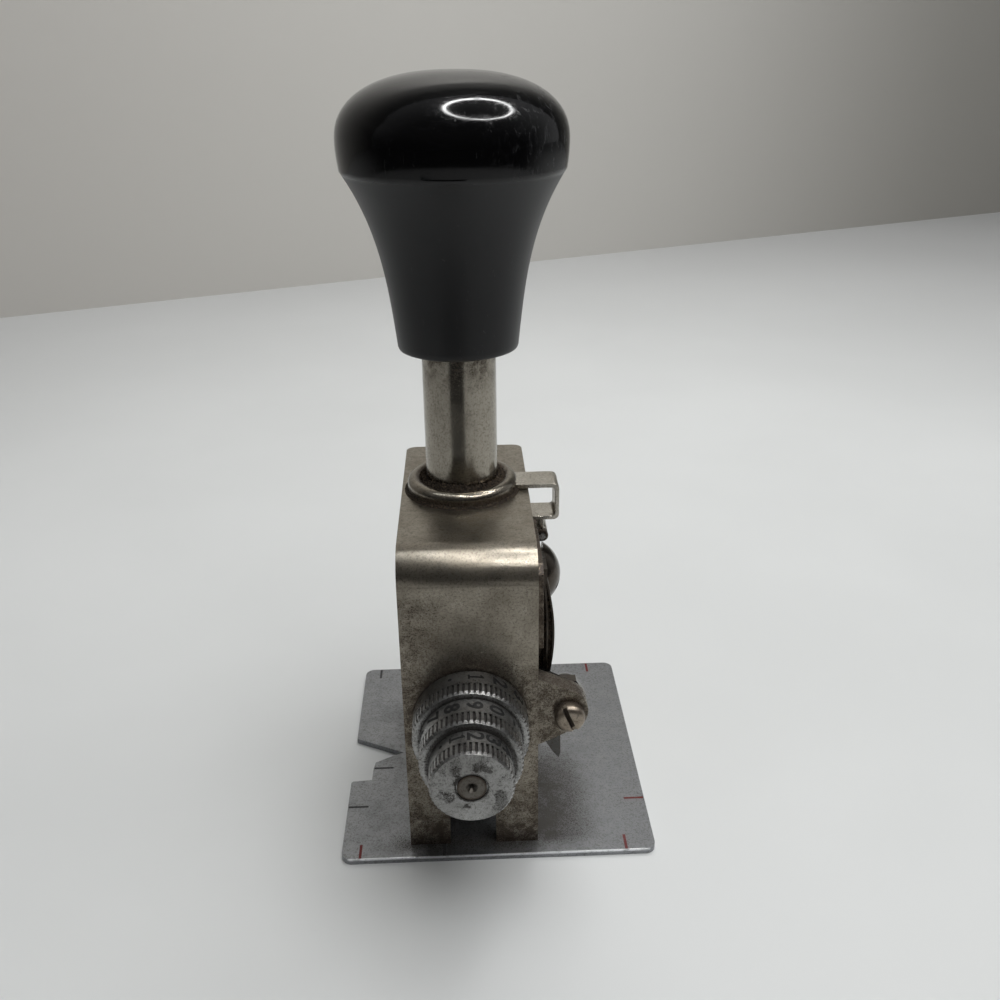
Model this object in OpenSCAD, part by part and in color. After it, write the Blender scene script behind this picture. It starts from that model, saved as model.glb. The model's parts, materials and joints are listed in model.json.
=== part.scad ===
// Hand-operated numbering machine: a press knob on a sprung plunger carries three
// type bands, set by three stepped dials, down through a window in a sighting plate.
// Origin: plunger axis on the underside of the base plate. +Z is up, the dials
// point to -Y, and the notch that points at the imprint is on the -X edge.
// Millimetres.

/* [Base plate] */
// Plate edge to the left of the plunger axis
plate_left = 30.6; // [26:0.1:36]
// Plate edge to the right of the plunger axis
plate_right = 43.2; // [40:0.1:50]
// Plate edge in front of the plunger axis
plate_front = 40.8; // [39:0.1:46]
// Plate edge behind the plunger axis
plate_back = 38.7; // [32:0.1:46]
// Thickness of the plate
plate_t = 1.5; // [1:0.1:1.8]
// Corner radius of the plate
plate_corner_r = 2.5; // [1:0.1:4]
// Width of the print window
window_w = 18; // [16:0.5:20]
// Depth of the print window
window_d = 24; // [21:0.5:26]
// Distance from the left edge to the point of the sighting notch
notch_depth = 12.8; // [8:0.1:13]

/* [Housing] */
// Width of the housing
housing_w = 30; // [29:0.5:34]
// Height of the housing top above the underside of the plate
housing_h = 77.5; // [76:0.1:84]
// Front face, in front of the plunger axis
housing_front = 36.7; // [36:0.1:38]
// Rear edge of the top, behind the plunger axis
housing_back = 27.4; // [27:0.1:30]
// Thickness of the bent front and top bar
strap_t = 4.5; // [4:0.1:5]
// Outer bend radius between the front and the top
bend_r = 7.3; // [6.5:0.1:9]
// Thickness of the side plates
side_t = 1.2; // [0.9:0.1:1.5]
// Thickness of the rear wall
rear_t = 3; // [2.6:0.1:3.4]
// Width of the slot that the dial shafts run down
slot_w = 10.8; // [10.6:0.1:12]

/* [Plunger] */
// Radius of the plunger post
post_r = 8.43; // [8:0.01:8.8]
// Wall of the plunger tube
post_wall = 1.6; // [1.2:0.1:2.2]
// Stroke of the plunger
stroke = 20; // [16:0.5:20]
// Outer radius of the guide bushing's rolled flange
flange_r = 13; // [12.6:0.1:13.6]
// Height of the flange above the housing
flange_h = 3.5; // [3:0.1:4.5]
// Height of the knob's underside
knob_z = 112.2; // [108:0.1:118]
// Height of the knob
knob_h = 57.8; // [52:0.1:64]
// Largest radius of the knob
knob_r = 24.5; // [20:0.1:27]
// Radius of the knob at its underside
knob_neck_r = 13.6; // [12:0.1:15]
// Height of the knob's glossy cap, from its crease to the top
knob_cap_h = 19.7; // [16:0.1:24]

/* [Dials] */
// Height of the dial axis at rest
dial_z = 37; // [36.5:0.1:38]
// Radius of the large dial
large_dial_r = 12.8; // [12:0.1:13.4]
// Radius of the middle dial
middle_dial_r = 11.1; // [10:0.1:11.6]
// Radius of the small dial
small_dial_r = 8.9; // [8:0.1:9.6]
// Width of the large dial along its axis
large_dial_w = 7.8; // [7:0.1:9]
// Width of the middle dial along its axis
middle_dial_w = 7.9; // [7:0.1:9]
// Width of the small dial along its axis
small_dial_w = 7.2; // [6:0.1:9]
// Width of the knurled strip at the front of each rim
knurl_w = 3.4; // [2.4:0.1:4]
// Distance from tooth to tooth of the knurl
knurl_pitch = 1.19; // [1:0.01:1.6]
// Depth of the knurl
knurl_depth = 0.45; // [0.3:0.05:0.5]
// Chamfer on the front edge of each rim
rim_chamfer = 0.6; // [0.5:0.1:1]
// Radius of the centre shaft
shaft_r = 3; // [2.8:0.05:3.1]
// Wall of the two concentric sleeves
sleeve_wall = 0.94; // [0.85:0.01:0.98]

/* [Print head] */
// Number of places on each type band
band_places = 14; // [12:1:16]
// Width of one type band
band_w = 4; // [3.2:0.1:4.2]
// Distance from band to band
band_pitch = 5.5; // [5.4:0.1:5.8]
// Height of the type face above the underside of the plate at rest
type_z = 20; // [20:0.1:20.5]
// Radius of the drums that turn the bands
drum_r = 7; // [6.6:0.1:7.2]
// Radius of the bar that backs the bands at the imprint
nose_r = 2.2; // [1.9:0.1:2.4]

/* [Inking] */
// Pivot of the inking arm to the right of the plunger axis
pivot_x = 22.5; // [22:0.1:23]
// Height of the inking arm's pivot
pivot_z = 37.4; // [37:0.1:38]
// Radius of the ink roller's felt
felt_r = 3.9; // [3.4:0.1:4]
// Length of the ink roller's felt
felt_w = 18; // [16:0.5:19]
// Thickness of the inking arm's plate
arm_t = 1.8; // [1.4:0.1:2]

/* [Side catch] */
// Width of the strip with the finger loop
catch_w = 8; // [6:0.5:9]
// Thickness of the strip
catch_t = 1; // [0.8:0.1:1.2]
// Outside of the finger loop to the right of the plunger axis
catch_x = 23; // [22:0.1:25]
// Radius of the large domed screw's head
dome_r = 7; // [6:0.1:7.5]
// Thickness of the side bracket
bracket_t = 1.6; // [1.2:0.1:1.8]

/* [Fits] */
// Radial clearance of turning and sliding fits
run_gap = 0.06; // [0.04:0.01:0.09]
// Radial clearance of pressed and screwed joints
press_gap = 0.02; // [0.01:0.01:0.03]
// Distance between faces that pass each other
pass_gap = 0.3; // [0.25:0.01:0.35]

/* [Hidden] */
$fn = 64;
eps = 0.01;

// The housing stands a little to the right of the plunger, and so do the dials
housing_x = 0.6;
dial_x = 0.4;
print_y = -1.7;
wall_left = housing_x - housing_w / 2;
wall_right = housing_x + housing_w / 2;
strap_in_y = -housing_front + strap_t;
top_in_z = housing_h - strap_t;
inner_bend_r = bend_r - strap_t;
rear_y = housing_back - 2;
rear_in_y = rear_y - rear_t;
plan_corner_r = 2.5;
slot_top_z = dial_z + 1;
base_screw_r = 1.2;
base_screw_head_r = 2.2;
base_screw_l = 9;
side_screw_r = 0.9;
side_screw_head_r = 1.7;
side_screw_l = 5.6;
side_screw_low_z = 20;
side_screw_high_z = housing_h - 19.5;

// Plunger and head
sleeve_in = shaft_r + run_gap;
middle_sleeve_r = sleeve_in + sleeve_wall;
large_sleeve_in = middle_sleeve_r + run_gap;
large_sleeve_r = large_sleeve_in + sleeve_wall;
post_in_r = post_r - post_wall;
yoke_t = 4;
yoke_z = dial_z + 13;
yoke_top = yoke_z + yoke_t;
stop_t = 1.7;
bushing_z = yoke_top + stop_t + pass_gap;
bushing_r = post_r + 2.4;
lip_r = flange_h / 2;
post_top = knob_z + knob_h - knob_cap_h - 0.2;
plug_h = 8;
head_half_w = 10.5;
head_plate_t = 2.5;
head_front_y = -28;
head_rear_y = 13;
head_low_z = type_z + 2;
yoke_rear_y = 21;
tie_r = 1.2;
tie_x = 9;
tie_z = type_z + 8;
head_screw_r = 1;
head_screw_head_r = 1.9;
head_screw_x = 4.2;
head_screw_l = 12;
yoke_screw_r = 2.5;
yoke_screw_head_r = 4.5;
rod_r = 1.5;
guide_x = 8.5;
guide_y = 17.5;
spring_wire_r = 0.45;
spring_r = 2.6;
spring_turns = 12;

// Dials, from the housing outwards
large_back = -housing_front - 0.4;
dial_step_gap = 0.12;
large_face = large_back - large_dial_w;
middle_back = large_face - dial_step_gap;
middle_face = middle_back - middle_dial_w;
small_back = middle_face - dial_step_gap;
small_face = small_back - small_dial_w;

// Bands and drums
belt_t = 1;
type_h = 1;
belt_gap = 0.3;
nose_z = type_z + type_h + belt_t + belt_gap + nose_r;
belt_span = dial_z - nose_z;
drum_w = band_w + 1.2;
star_w = 0.9;
star_r = drum_r + 1.2;
type_w = 3;

// Inking linkage: the head's pin drives the slotted crank through equal angles
// above and below the pivot
crank_reach = 15.3;
pin_r = 1.25;
pin_x = pivot_x - crank_reach;
pin_z = pivot_z + stroke / 2;
crank_angle = atan(stroke / 2 / crank_reach);
crank_slot_r = 1.85;
crank_tip_r = 3.4;
crank_far = crank_reach / cos(crank_angle);
hub_r = 4.2;
roller_z = type_z - pass_gap - felt_r;
roller_dx = dial_x - pivot_x;
roller_dz = roller_z - pivot_z;
arm_len = norm([roller_dx, roller_dz]);
arm_angle = atan2(roller_dz, roller_dx);
arm_front = strap_in_y + 0.34;
arm_back = arm_front + arm_t;
axle_r = 1.5;
axle_end = print_y + felt_w / 2 + 3;
pivot_r = 2;
ear_r = 5.6;
ear_x = pivot_x - 1.3;
ear_z = pivot_z + 0.6;

// Side stack
bracket_in = wall_right;
bracket_out = bracket_in + bracket_t;
dome_y = -17;
dome_drop = 14.5;
dome_z = housing_h - dome_drop;
dome_h = 4;
dome_shank_r = 2.5;
blade_t = 0.4;
leaf_t = 2 * blade_t;
leaf_low_z = ear_z + 5.5;
leaf_high_z = housing_h - 9.5;
leaf_front = -29.8;
leaf_back = -24.3;
clamp_r = 5.6;
clamp_h = 2.4;
bracket_front = -31;
bracket_top_z = housing_h - 6;
hinge_x = bracket_out + 1.6;
hinge_drop = 11.5;
hinge_z = housing_h - hinge_drop;
hinge_r = 1.5;
hinge_pin_r = 0.8;
catch_y = 1.3;
loop_z = housing_h + pass_gap;
loop_drop = 8;
loop_low_z = housing_h - loop_drop;
tongue_x = flange_r - 1.7;

steel = "#8f9193";
nickel = "#a39c8e";
dark_steel = "#5c5a57";
black = "#17181a";

// ---------- helpers ----------

// Cylinder along +Y from y0 to y1 round (x, z)
module rod_y(x, z, y0, y1, r) {
  translate([x, y1, z]) rotate([90, 0, 0]) cylinder(r = r, h = y1 - y0);
}

// Cylinder along +X from x0 to x1 round (y, z)
module rod_x(y, z, x0, x1, r) {
  translate([x0, y, z]) rotate([0, 90, 0]) cylinder(r = r, h = x1 - x0);
}

// Plane figure in X and Z, given thickness from y0 to y1
module plate_y(y0, y1) {
  translate([0, y1, 0]) rotate([90, 0, 0]) linear_extrude(y1 - y0) children();
}

// Plane figure in Y and Z, given thickness from x0 to x1
module plate_x(x0, x1) {
  translate([x0, 0, 0]) rotate([90, 0, 90]) linear_extrude(x1 - x0) children();
}

// Straight bar with round ends of radius ra at the origin and rb at (len, 0)
module round_bar(len, ra, rb) {
  lean = asin((ra - rb) / len);
  circle(r = ra);
  translate([len, 0]) circle(r = rb);
  polygon([
    [ra * sin(lean), ra * cos(lean)],
    [len + rb * sin(lean), rb * cos(lean)],
    [len + rb * sin(lean), -rb * cos(lean)],
    [ra * sin(lean), -ra * cos(lean)]
  ]);
}

// Rectangle with round corners from (x0, y0) to (x1, y1)
module round_rect(x0, y0, x1, y1, r) {
  translate([x0 + r, y0]) square([x1 - x0 - 2 * r, y1 - y0]);
  translate([x0, y0 + r]) square([x1 - x0, y1 - y0 - 2 * r]);
  for (x = [x0 + r, x1 - r], y = [y0 + r, y1 - r]) translate([x, y]) circle(r = r);
}

// Flat-headed screw along +Z: head at z = 0, shank radius r, length l
module flat_screw(r, l, head_r) {
  cylinder(r1 = head_r, r2 = r, h = head_r - r);
  cylinder(r = r, h = l);
}

// Hole for that screw
module flat_hole(r, l, head_r) {
  translate([0, 0, -eps]) cylinder(r1 = head_r + press_gap + eps, r2 = r + press_gap, h = head_r - r + eps);
  translate([0, 0, -eps]) cylinder(r = r + press_gap, h = l + eps);
}

// Knurled disc: rim teeth cut along its axis
function knurl_teeth(r) = round(2 * PI * r / knurl_pitch);
module knurl_figure(r) {
  teeth = knurl_teeth(r);
  polygon([
    for (i = [0 : teeth - 1], s = [[0.06, 1], [0.5, 1], [0.7, 0], [0.86, 0]])
      let (angle = 360 * (i + s[0]) / teeth, q = r - knurl_depth * (1 - s[1]))
        [q * cos(angle), q * sin(angle)]
  ]);
}

// ---------- base ----------

module base_screw_spots() {
  for (x = [-10, 10]) translate([housing_x + x, -housing_front + strap_t / 2, 0]) children();
  for (x = [-8, 8]) translate([housing_x + x, rear_y - rear_t / 2, 0]) children();
}

module sighting_notch() {
  tip_x = notch_depth - plate_left;
  polygon([
    [-plate_left - 1, 5.6],
    [tip_x, print_y],
    [tip_x - 3.2, print_y - 1.5],
    [tip_x - 7.1, print_y - 3.8],
    [tip_x - 7.5, print_y - 6.3],
    [tip_x - 7.6, print_y - 10.8],
    [0.4 - plate_left, print_y - 11.2],
    [-plate_left - 1, print_y - 13]
  ]);
}

module base_plate() {
  color(steel) difference() {
    linear_extrude(plate_t) difference() {
      round_rect(-plate_left, -plate_front, plate_right, plate_back, plate_corner_r);
      sighting_notch();
      round_rect(
        dial_x - window_w / 2, print_y - window_d / 2,
        dial_x + window_w / 2, print_y + window_d / 2, 2
      );
    }
    base_screw_spots() flat_hole(base_screw_r, plate_t + 1, base_screw_head_r);
  }
}

module base_screws() {
  color(dark_steel) base_screw_spots()
    flat_screw(base_screw_r, base_screw_l, base_screw_head_r);
}

// ---------- housing ----------

// Side view of the bar, bent from the front leg into the top
module strap_profile() {
  bend_y = -housing_front + bend_r;
  bend_z = housing_h - bend_r;
  translate([-housing_front, plate_t]) square([strap_t, bend_z - plate_t]);
  translate([bend_y, top_in_z]) square([housing_back - bend_y, strap_t]);
  intersection() {
    translate([bend_y, bend_z]) difference() {
      circle(r = bend_r);
      circle(r = inner_bend_r);
    }
    translate([-housing_front, bend_z]) square([bend_r, bend_r]);
  }
}

module ear_outline() {
  translate([ear_x, ear_z]) circle(r = ear_r);
  polygon([
    [wall_right - 1, ear_z - 8.6], [wall_right + 0.3, ear_z - 8.6],
    [ear_x + 1, ear_z - ear_r + 0.1], [ear_x + 2.4, ear_z + ear_r - 0.55],
    [wall_right + 0.5, ear_z + 8.5], [wall_right - 1, ear_z + 8.9]
  ]);
}

module front_strap() {
  color(nickel) difference() {
    union() {
      plate_x(wall_left, wall_right) strap_profile();
      plate_y(-housing_front, strap_in_y) ear_outline();
    }
    // Slot for the dial shafts, open at the foot
    rod_y(dial_x, slot_top_z, -housing_front - 1, strap_in_y + 1, slot_w / 2);
    translate([dial_x - slot_w / 2, -housing_front - 1, 0])
      cube([slot_w, strap_t + 2, slot_top_z]);
    // Seat of the guide bushing
    translate([0, 0, top_in_z - 1]) cylinder(r = bushing_r + press_gap, h = strap_t + 2);
    // Round corners at the rear of the top
    for (side = [-1, 1]) translate([housing_x, 0, 0]) mirror([side < 0 ? 1 : 0, 0, 0])
      translate([housing_w / 2 - plan_corner_r, housing_back - plan_corner_r, top_in_z - 1])
        difference() {
          cube([plan_corner_r + 1, plan_corner_r + 1, strap_t + 2]);
          translate([0, 0, -1]) cylinder(r = plan_corner_r, h = strap_t + 4);
        }
    rod_y(pivot_x, pivot_z, -housing_front - 1, strap_in_y + 1, pivot_r + press_gap);
    base_screw_spots() cylinder(r = base_screw_r + press_gap, h = base_screw_l + 0.2);
  }
}

module side_screw_spots(outside, direction) {
  for (z = [side_screw_low_z, side_screw_high_z]) translate([outside, rear_y - rear_t / 2, z])
    rotate([0, 90 * direction, 0]) children();
}

module left_side_plate() {
  color(nickel) difference() {
    plate_x(wall_left, wall_left + side_t) difference() {
      polygon([
        [strap_in_y, plate_t], [rear_y, plate_t], [rear_y, top_in_z],
        [strap_in_y + inner_bend_r, top_in_z], [strap_in_y, top_in_z - inner_bend_r]
      ]);
      // Sight opening beside the imprint
      round_rect(print_y - 10, plate_t - 4, print_y + 10, 21, 3);
    }
    side_screw_spots(wall_left, 1) 
      flat_hole(side_screw_r, side_screw_l + 0.4, side_screw_head_r);
  }
}

module right_side_plate() {
  color(nickel) difference() {
    plate_x(wall_right - side_t, wall_right) polygon([
      [strap_in_y, 51], [arm_back + 1.6, 51], [arm_back + 1.6, 26], [axle_end + 2, 26],
      [axle_end + 2, plate_t], [rear_y, plate_t], [rear_y, top_in_z],
      [strap_in_y + inner_bend_r, top_in_z], [strap_in_y, top_in_z - inner_bend_r]
    ]);
    side_screw_spots(wall_right, -1) 
      flat_hole(side_screw_r, side_screw_l + 0.4, side_screw_head_r);
    rod_x(dome_y, dome_z, wall_right - side_t - 1, wall_right + 1, dome_shank_r + press_gap);
  }
}

module rear_wall() {
  color(nickel) difference() {
    translate([wall_left + side_t, rear_in_y, plate_t])
      cube([housing_w - 2 * side_t, rear_t, top_in_z - plate_t]);
    side_screw_spots(wall_left, 1)
      cylinder(r = side_screw_r + press_gap, h = side_screw_l + 0.4);
    side_screw_spots(wall_right, -1)
      cylinder(r = side_screw_r + press_gap, h = side_screw_l + 0.4);
    base_screw_spots() cylinder(r = base_screw_r + press_gap, h = base_screw_l + 0.2);
  }
}

module side_screws() {
  color(dark_steel) {
    side_screw_spots(wall_left, 1)
      flat_screw(side_screw_r, side_screw_l, side_screw_head_r);
    side_screw_spots(wall_right, -1)
      flat_screw(side_screw_r, side_screw_l, side_screw_head_r);
  }
}

module guide_bushing() {
  color(nickel) difference() {
    rotate_extrude() {
      translate([post_r + run_gap, bushing_z])
        square([bushing_r - post_r - run_gap, housing_h + 1.4 - bushing_z]);
      translate([bushing_r - 1, housing_h]) square([flange_r - bushing_r + 1, lip_r]);
      translate([flange_r - lip_r, housing_h + lip_r]) circle(r = lip_r);
    }
    // Pocket for the tongue of the catch
    translate([tongue_x - 0.5, catch_y - catch_w / 2 - 0.4, housing_h - eps])
      cube([flange_r, catch_w + 0.8, 2.4]);
  }
}

module guide_rods() {
  color(steel) for (side = [-1, 1])
    translate([dial_x + side * guide_x, guide_y, plate_t])
      cylinder(r = rod_r, h = top_in_z - plate_t);
}

// One unbroken round wire wound as a helix: 8 rings to the turn, 6 sides
module coil(radius, wire, low, high, turns) {
  rings = 8 * turns;
  rise = (high - low - 2 * wire) / rings;
  points = [
    for (i = [0 : rings], k = [0 : 5])
      let (around = 45 * i, q = radius + wire * cos(60 * k))
        [q * cos(around), q * sin(around), low + wire + rise * i + wire * sin(60 * k)]
  ];
  sides = [
    for (i = [0 : rings - 1], k = [0 : 5])
      let (a = 6 * i + k, b = 6 * i + (k + 1) % 6)
        each [[a, b + 6, b], [a, a + 6, b + 6]]
  ];
  first = [for (k = [1 : 4]) [0, k, k + 1]];
  last = [for (k = [1 : 4]) [6 * rings, 6 * rings + k + 1, 6 * rings + k]];
  polyhedron(points, concat(sides, first, last));
}

module return_springs() {
  least_gap = (yoke_z - plate_t - 0.6 - 2 * spring_wire_r) / spring_turns - 2 * spring_wire_r;
  echo(least_gap_between_curls = least_gap);
  color(steel) for (side = [-1, 1]) translate([dial_x + side * guide_x, guide_y, 0])
    coil(spring_r, spring_wire_r, plate_t + 0.3, yoke_z - 0.3, spring_turns);
}

// ---------- side catch ----------

module side_bracket() {
  color(nickel) difference() {
    union() {
      plate_x(bracket_in, bracket_out) polygon([
        [bracket_front, ear_z + 13], [bracket_front, housing_h - 8],
        [bracket_front + 2, bracket_top_z], [-6, bracket_top_z], [-4.5, hinge_z + 2.3],
        [8, hinge_z + 2.3], [8, hinge_z - 5], [-8, ear_z + 13], [-20, ear_z + 6],
        [arm_back + 1.8, ear_z + 6], [arm_back + 1.8, ear_z + 13]
      ]);
      // Knuckles of the catch's hinge
      for (y = [catch_y - catch_w / 2 - 1.7, catch_y + catch_w / 2 + 0.3]) {
        rod_y(hinge_x, hinge_z, y, y + 1.4, hinge_r);
        translate([bracket_out - 0.2, y, hinge_z - hinge_r])
          cube([hinge_x - bracket_out + 0.2, 1.4, 2 * hinge_r]);
      }
    }
    rod_y(hinge_x, hinge_z, -10, 12, hinge_pin_r + press_gap);
    rod_x(dome_y, dome_z, bracket_in - 1, bracket_out + 1, dome_shank_r + press_gap);
  }
}

module domed_screw() {
  dome_x = bracket_out + leaf_t;
  ball_r = (dome_r * dome_r + dome_h * dome_h) / (2 * dome_h);
  shank_l = dome_x - (wall_right - side_t - 2.4);
  color(nickel) difference() {
    translate([dome_x, dome_y, dome_z]) rotate([0, 90, 0]) rotate_extrude() {
      intersection() {
        translate([0, dome_h - ball_r]) circle(r = ball_r);
        square([dome_r, dome_h + 1]);
      }
      translate([0, -shank_l]) square([dome_shank_r, shank_l + 0.5]);
    }
    // Driver slot across the dome
    translate([dome_x + dome_h - 1.3, dome_y, dome_z]) rotate([35, 0, 0])
      translate([0, -dome_r - 1, -0.7]) cube([3, 2 * dome_r + 2, 1.4]);
  }
}

module domed_screw_nut() {
  color(dark_steel) difference() {
    translate([wall_right - side_t - 2, dome_y, dome_z]) rotate([0, 90, 0])
      cylinder(r = 4.4, h = 2, $fn = 6);
    rod_x(dome_y, dome_z, wall_right - side_t - 3, wall_right, dome_shank_r + press_gap);
  }
}

// How far a blade bows out at height z, for a bow of the given size
function bow(z, size) = size * sin(180 * (leaf_high_z - z) / (leaf_high_z - leaf_low_z + 3.5));

// One bowed blade of the spring, from start to end in X where it is clamped
module blade(start, size) {
  steps = 16;
  heights = [for (i = [0 : steps]) leaf_high_z + (leaf_low_z - leaf_high_z) * i / steps];
  plate_y(leaf_front, leaf_back) polygon(concat(
    [for (z = heights) [start + bow(z, size), z]],
    [for (i = [steps : -1 : 0]) [start + blade_t + bow(heights[i], size), heights[i]]]
  ));
}

// Spring of two bowed blades, clamped under the domed screw
module leaf_spring() {
  color(dark_steel) difference() {
    union() {
      blade(bracket_out, 0.7);
      blade(bracket_out + blade_t, 1.7);
      plate_x(bracket_out, bracket_out + leaf_t) {
        translate([dome_y, dome_z]) circle(r = clamp_r);
        polygon([
          [leaf_front, leaf_high_z - 0.1], [leaf_front, leaf_high_z + clamp_h],
          [leaf_back, leaf_high_z + clamp_h], [dome_y + 1, dome_z + 0.93 * clamp_r],
          [dome_y - 2, dome_z - 0.89 * clamp_r], [leaf_back, leaf_high_z - 0.1]
        ]);
      }
    }
    rod_x(dome_y, dome_z, bracket_out - 1, bracket_out + 2, dome_shank_r + press_gap);
  }
}

module catch_pin() {
  color(steel) rod_y(
    hinge_x, hinge_z, catch_y - catch_w / 2 - 2, catch_y + catch_w / 2 + 2, hinge_pin_r
  );
}

module finger_catch() {
  low = catch_y - catch_w / 2;
  high = catch_y + catch_w / 2;
  corner = 1.4;
  color(nickel) difference() {
    union() {
      plate_y(low, high) {
        // Finger loop, bent from one strip
        difference() {
          round_rect(wall_right - 3, loop_low_z, catch_x, loop_z + catch_t, corner);
          round_rect(
            wall_right - 4, loop_low_z + catch_t, catch_x - catch_t, loop_z, corner - 0.6
          );
          translate([wall_right - 5, loop_low_z - 1])
            square([5.8, loop_z - loop_low_z + 1]);
          translate([wall_right - 5, loop_low_z - 1]) square([5.8, 20]);
        }
        translate([tongue_x, loop_z]) square([wall_right + 2 - tongue_x, catch_t]);
        // Web down to the hinge
        translate([hinge_x - catch_t / 2, hinge_z]) square([catch_t, loop_low_z - hinge_z + 0.5]);
      }
      rod_y(hinge_x, hinge_z, low, high, hinge_r);
    }
    rod_y(hinge_x, hinge_z, low - 1, high + 1, hinge_pin_r + run_gap);
  }
}

// ---------- inking linkage ----------

module pivot_screw() {
  head_back = -housing_front;
  color(nickel) difference() {
    union() {
      rod_y(pivot_x, pivot_z, head_back, arm_back + 5.6, pivot_r);
      rod_y(pivot_x, pivot_z, head_back - 3, head_back, 3.4);
    }
    translate([pivot_x, head_back - 3, pivot_z]) rotate([0, 67, 0])
      translate([-5, -1, -0.5]) cube([10, 2.3, 1]);
  }
}

module pivot_nut() {
  color(nickel) difference() {
    union() {
      translate([pivot_x, arm_back + pass_gap + 2.6, pivot_z]) rotate([90, 0, 0])
        cylinder(r = 4.6, h = 2.6, $fn = 6);
      intersection() {
        translate([pivot_x, arm_back + pass_gap + 2.4, pivot_z]) sphere(r = 3.9);
        translate([pivot_x - 5, arm_back + pass_gap + 2.5, pivot_z - 5]) cube([10, 6, 10]);
      }
    }
    rod_y(pivot_x, pivot_z, arm_back - 1, arm_back + 5.6 + press_gap, pivot_r + press_gap);
  }
}

module inking_arm() {
  color(dark_steel) difference() {
    union() {
      plate_y(arm_front, arm_back) translate([pivot_x, pivot_z]) {
        circle(r = hub_r);
        rotate(180 - crank_angle) round_bar(crank_far + 0.3, hub_r, crank_tip_r);
        rotate(arm_angle) round_bar(arm_len, hub_r, 2.9);
        polygon([[-3.8, 0], [-5, -9.6], [-1.6, -7.4], [3.4, -2]]);
      }
      // Pointed tail, set forward below the ear
      plate_y(arm_front - 1.6, arm_front + eps) translate([pivot_x, pivot_z])
        polygon([[-5, -9.6], [-1.6, -7.4], [-1.5, -13.2], [-1.9, -14.4], [-3.2, -12.8]]);
      plate_y(arm_front, arm_back) translate([pivot_x, pivot_z])
        polygon([[-5, -9.6], [-1.6, -7.4], [-1.5, -11.2], [-3.7, -11.6]]);
    }
    rod_y(pivot_x, pivot_z, arm_front - 3, arm_back + 1, pivot_r + run_gap);
    rod_y(dial_x, roller_z, arm_front - 1, arm_back + 1, axle_r + press_gap);
    plate_y(arm_front - 1, arm_back + 1) translate([pivot_x, pivot_z])
      rotate(180 - crank_angle) {
        for (reach = [crank_reach - 0.6, crank_far + 0.3]) translate([reach, 0]) circle(r = crank_slot_r);
        translate([crank_reach - 0.6, -crank_slot_r])
          square([crank_far - crank_reach + 0.9, 2 * crank_slot_r]);
      }
  }
}

module roller_axle() {
  color(steel) rod_y(dial_x, roller_z, arm_front, axle_end, axle_r);
}

module axle_clip() {
  color(dark_steel) difference() {
    rod_y(dial_x, roller_z, axle_end - 1.6, axle_end - 0.8, 2.8);
    rod_y(dial_x, roller_z, axle_end - 3, axle_end + 1, axle_r + press_gap);
  }
}

module roller_core() {
  color(steel) difference() {
    rod_y(dial_x, roller_z, print_y - felt_w / 2 - 1, print_y + felt_w / 2 + 1, 2.6);
    rod_y(dial_x, roller_z, print_y - felt_w, print_y + felt_w, axle_r + run_gap);
  }
}

module roller_felt() {
  color("#241d2c") difference() {
    rod_y(dial_x, roller_z, print_y - felt_w / 2, print_y + felt_w / 2, felt_r);
    rod_y(dial_x, roller_z, print_y - felt_w, print_y + felt_w, 2.6 + press_gap);
  }
}

// ---------- plunger ----------

// Flared neck up to the crease, then a domed cap of superelliptic section
module press_knob() {
  crease_z = knob_h - knob_cap_h;
  wide_z = knob_h - 13.8;
  crease_r = knob_r - 0.8;
  flare = [for (i = [0 : 18]) let (t = i / 18)
    [knob_neck_r + 4 * t + (crease_r - knob_neck_r - 4) * pow(t, 3.2), 0.7 + (crease_z - 0.7) * t]];
  swell = [for (i = [1 : 6]) let (t = i / 6)
    [crease_r + 0.25 + (knob_r - crease_r - 0.25) * sin(90 * t), crease_z + (wide_z - crease_z) * t]];
  dome = [for (i = [1 : 22]) let (t = 90 * i / 22, e = 2 / 2.35)
    [knob_r * pow(cos(t), e), wide_z + (knob_h - wide_z) * pow(sin(t), e)]];
  color(black) translate([0, 0, knob_z]) difference() {
    rotate_extrude($fn = 96) polygon(concat(
      [[0, 0], [knob_neck_r - 0.7, 0], [knob_neck_r - 0.2, 0.2]], flare, swell, dome
    ));
    translate([0, 0, -1]) cylinder(r = post_r + press_gap, h = post_top - knob_z + 1.05);
  }
}

module plunger_post() {
  color(nickel) translate([0, 0, yoke_top]) difference() {
    cylinder(r = post_r, h = post_top - yoke_top);
    translate([0, 0, -1]) cylinder(r = post_in_r, h = post_top - yoke_top + 2);
  }
}

module post_plug() {
  color(steel) translate([0, 0, yoke_top]) difference() {
    cylinder(r = post_in_r - press_gap, h = plug_h);
    translate([0, 0, -1]) cylinder(r = yoke_screw_r + press_gap, h = plug_h - 1);
  }
}

module yoke_screw() {
  color(dark_steel) translate([0, 0, yoke_z])
    flat_screw(yoke_screw_r, yoke_t + plug_h - 2.5, yoke_screw_head_r);
}

module stop_washer() {
  color("#3a2c22") translate([0, 0, yoke_top]) difference() {
    cylinder(r = bushing_r, h = stop_t);
    translate([0, 0, -1]) cylinder(r = post_r + press_gap, h = stop_t + 2);
  }
}

module head_screw_spots() {
  places_y = [head_front_y + head_plate_t / 2, head_rear_y - head_plate_t / 2];
  for (x = [-head_screw_x, head_screw_x], y = places_y)
    translate([dial_x + x, y, yoke_top]) mirror([0, 0, 1]) children();
}

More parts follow.
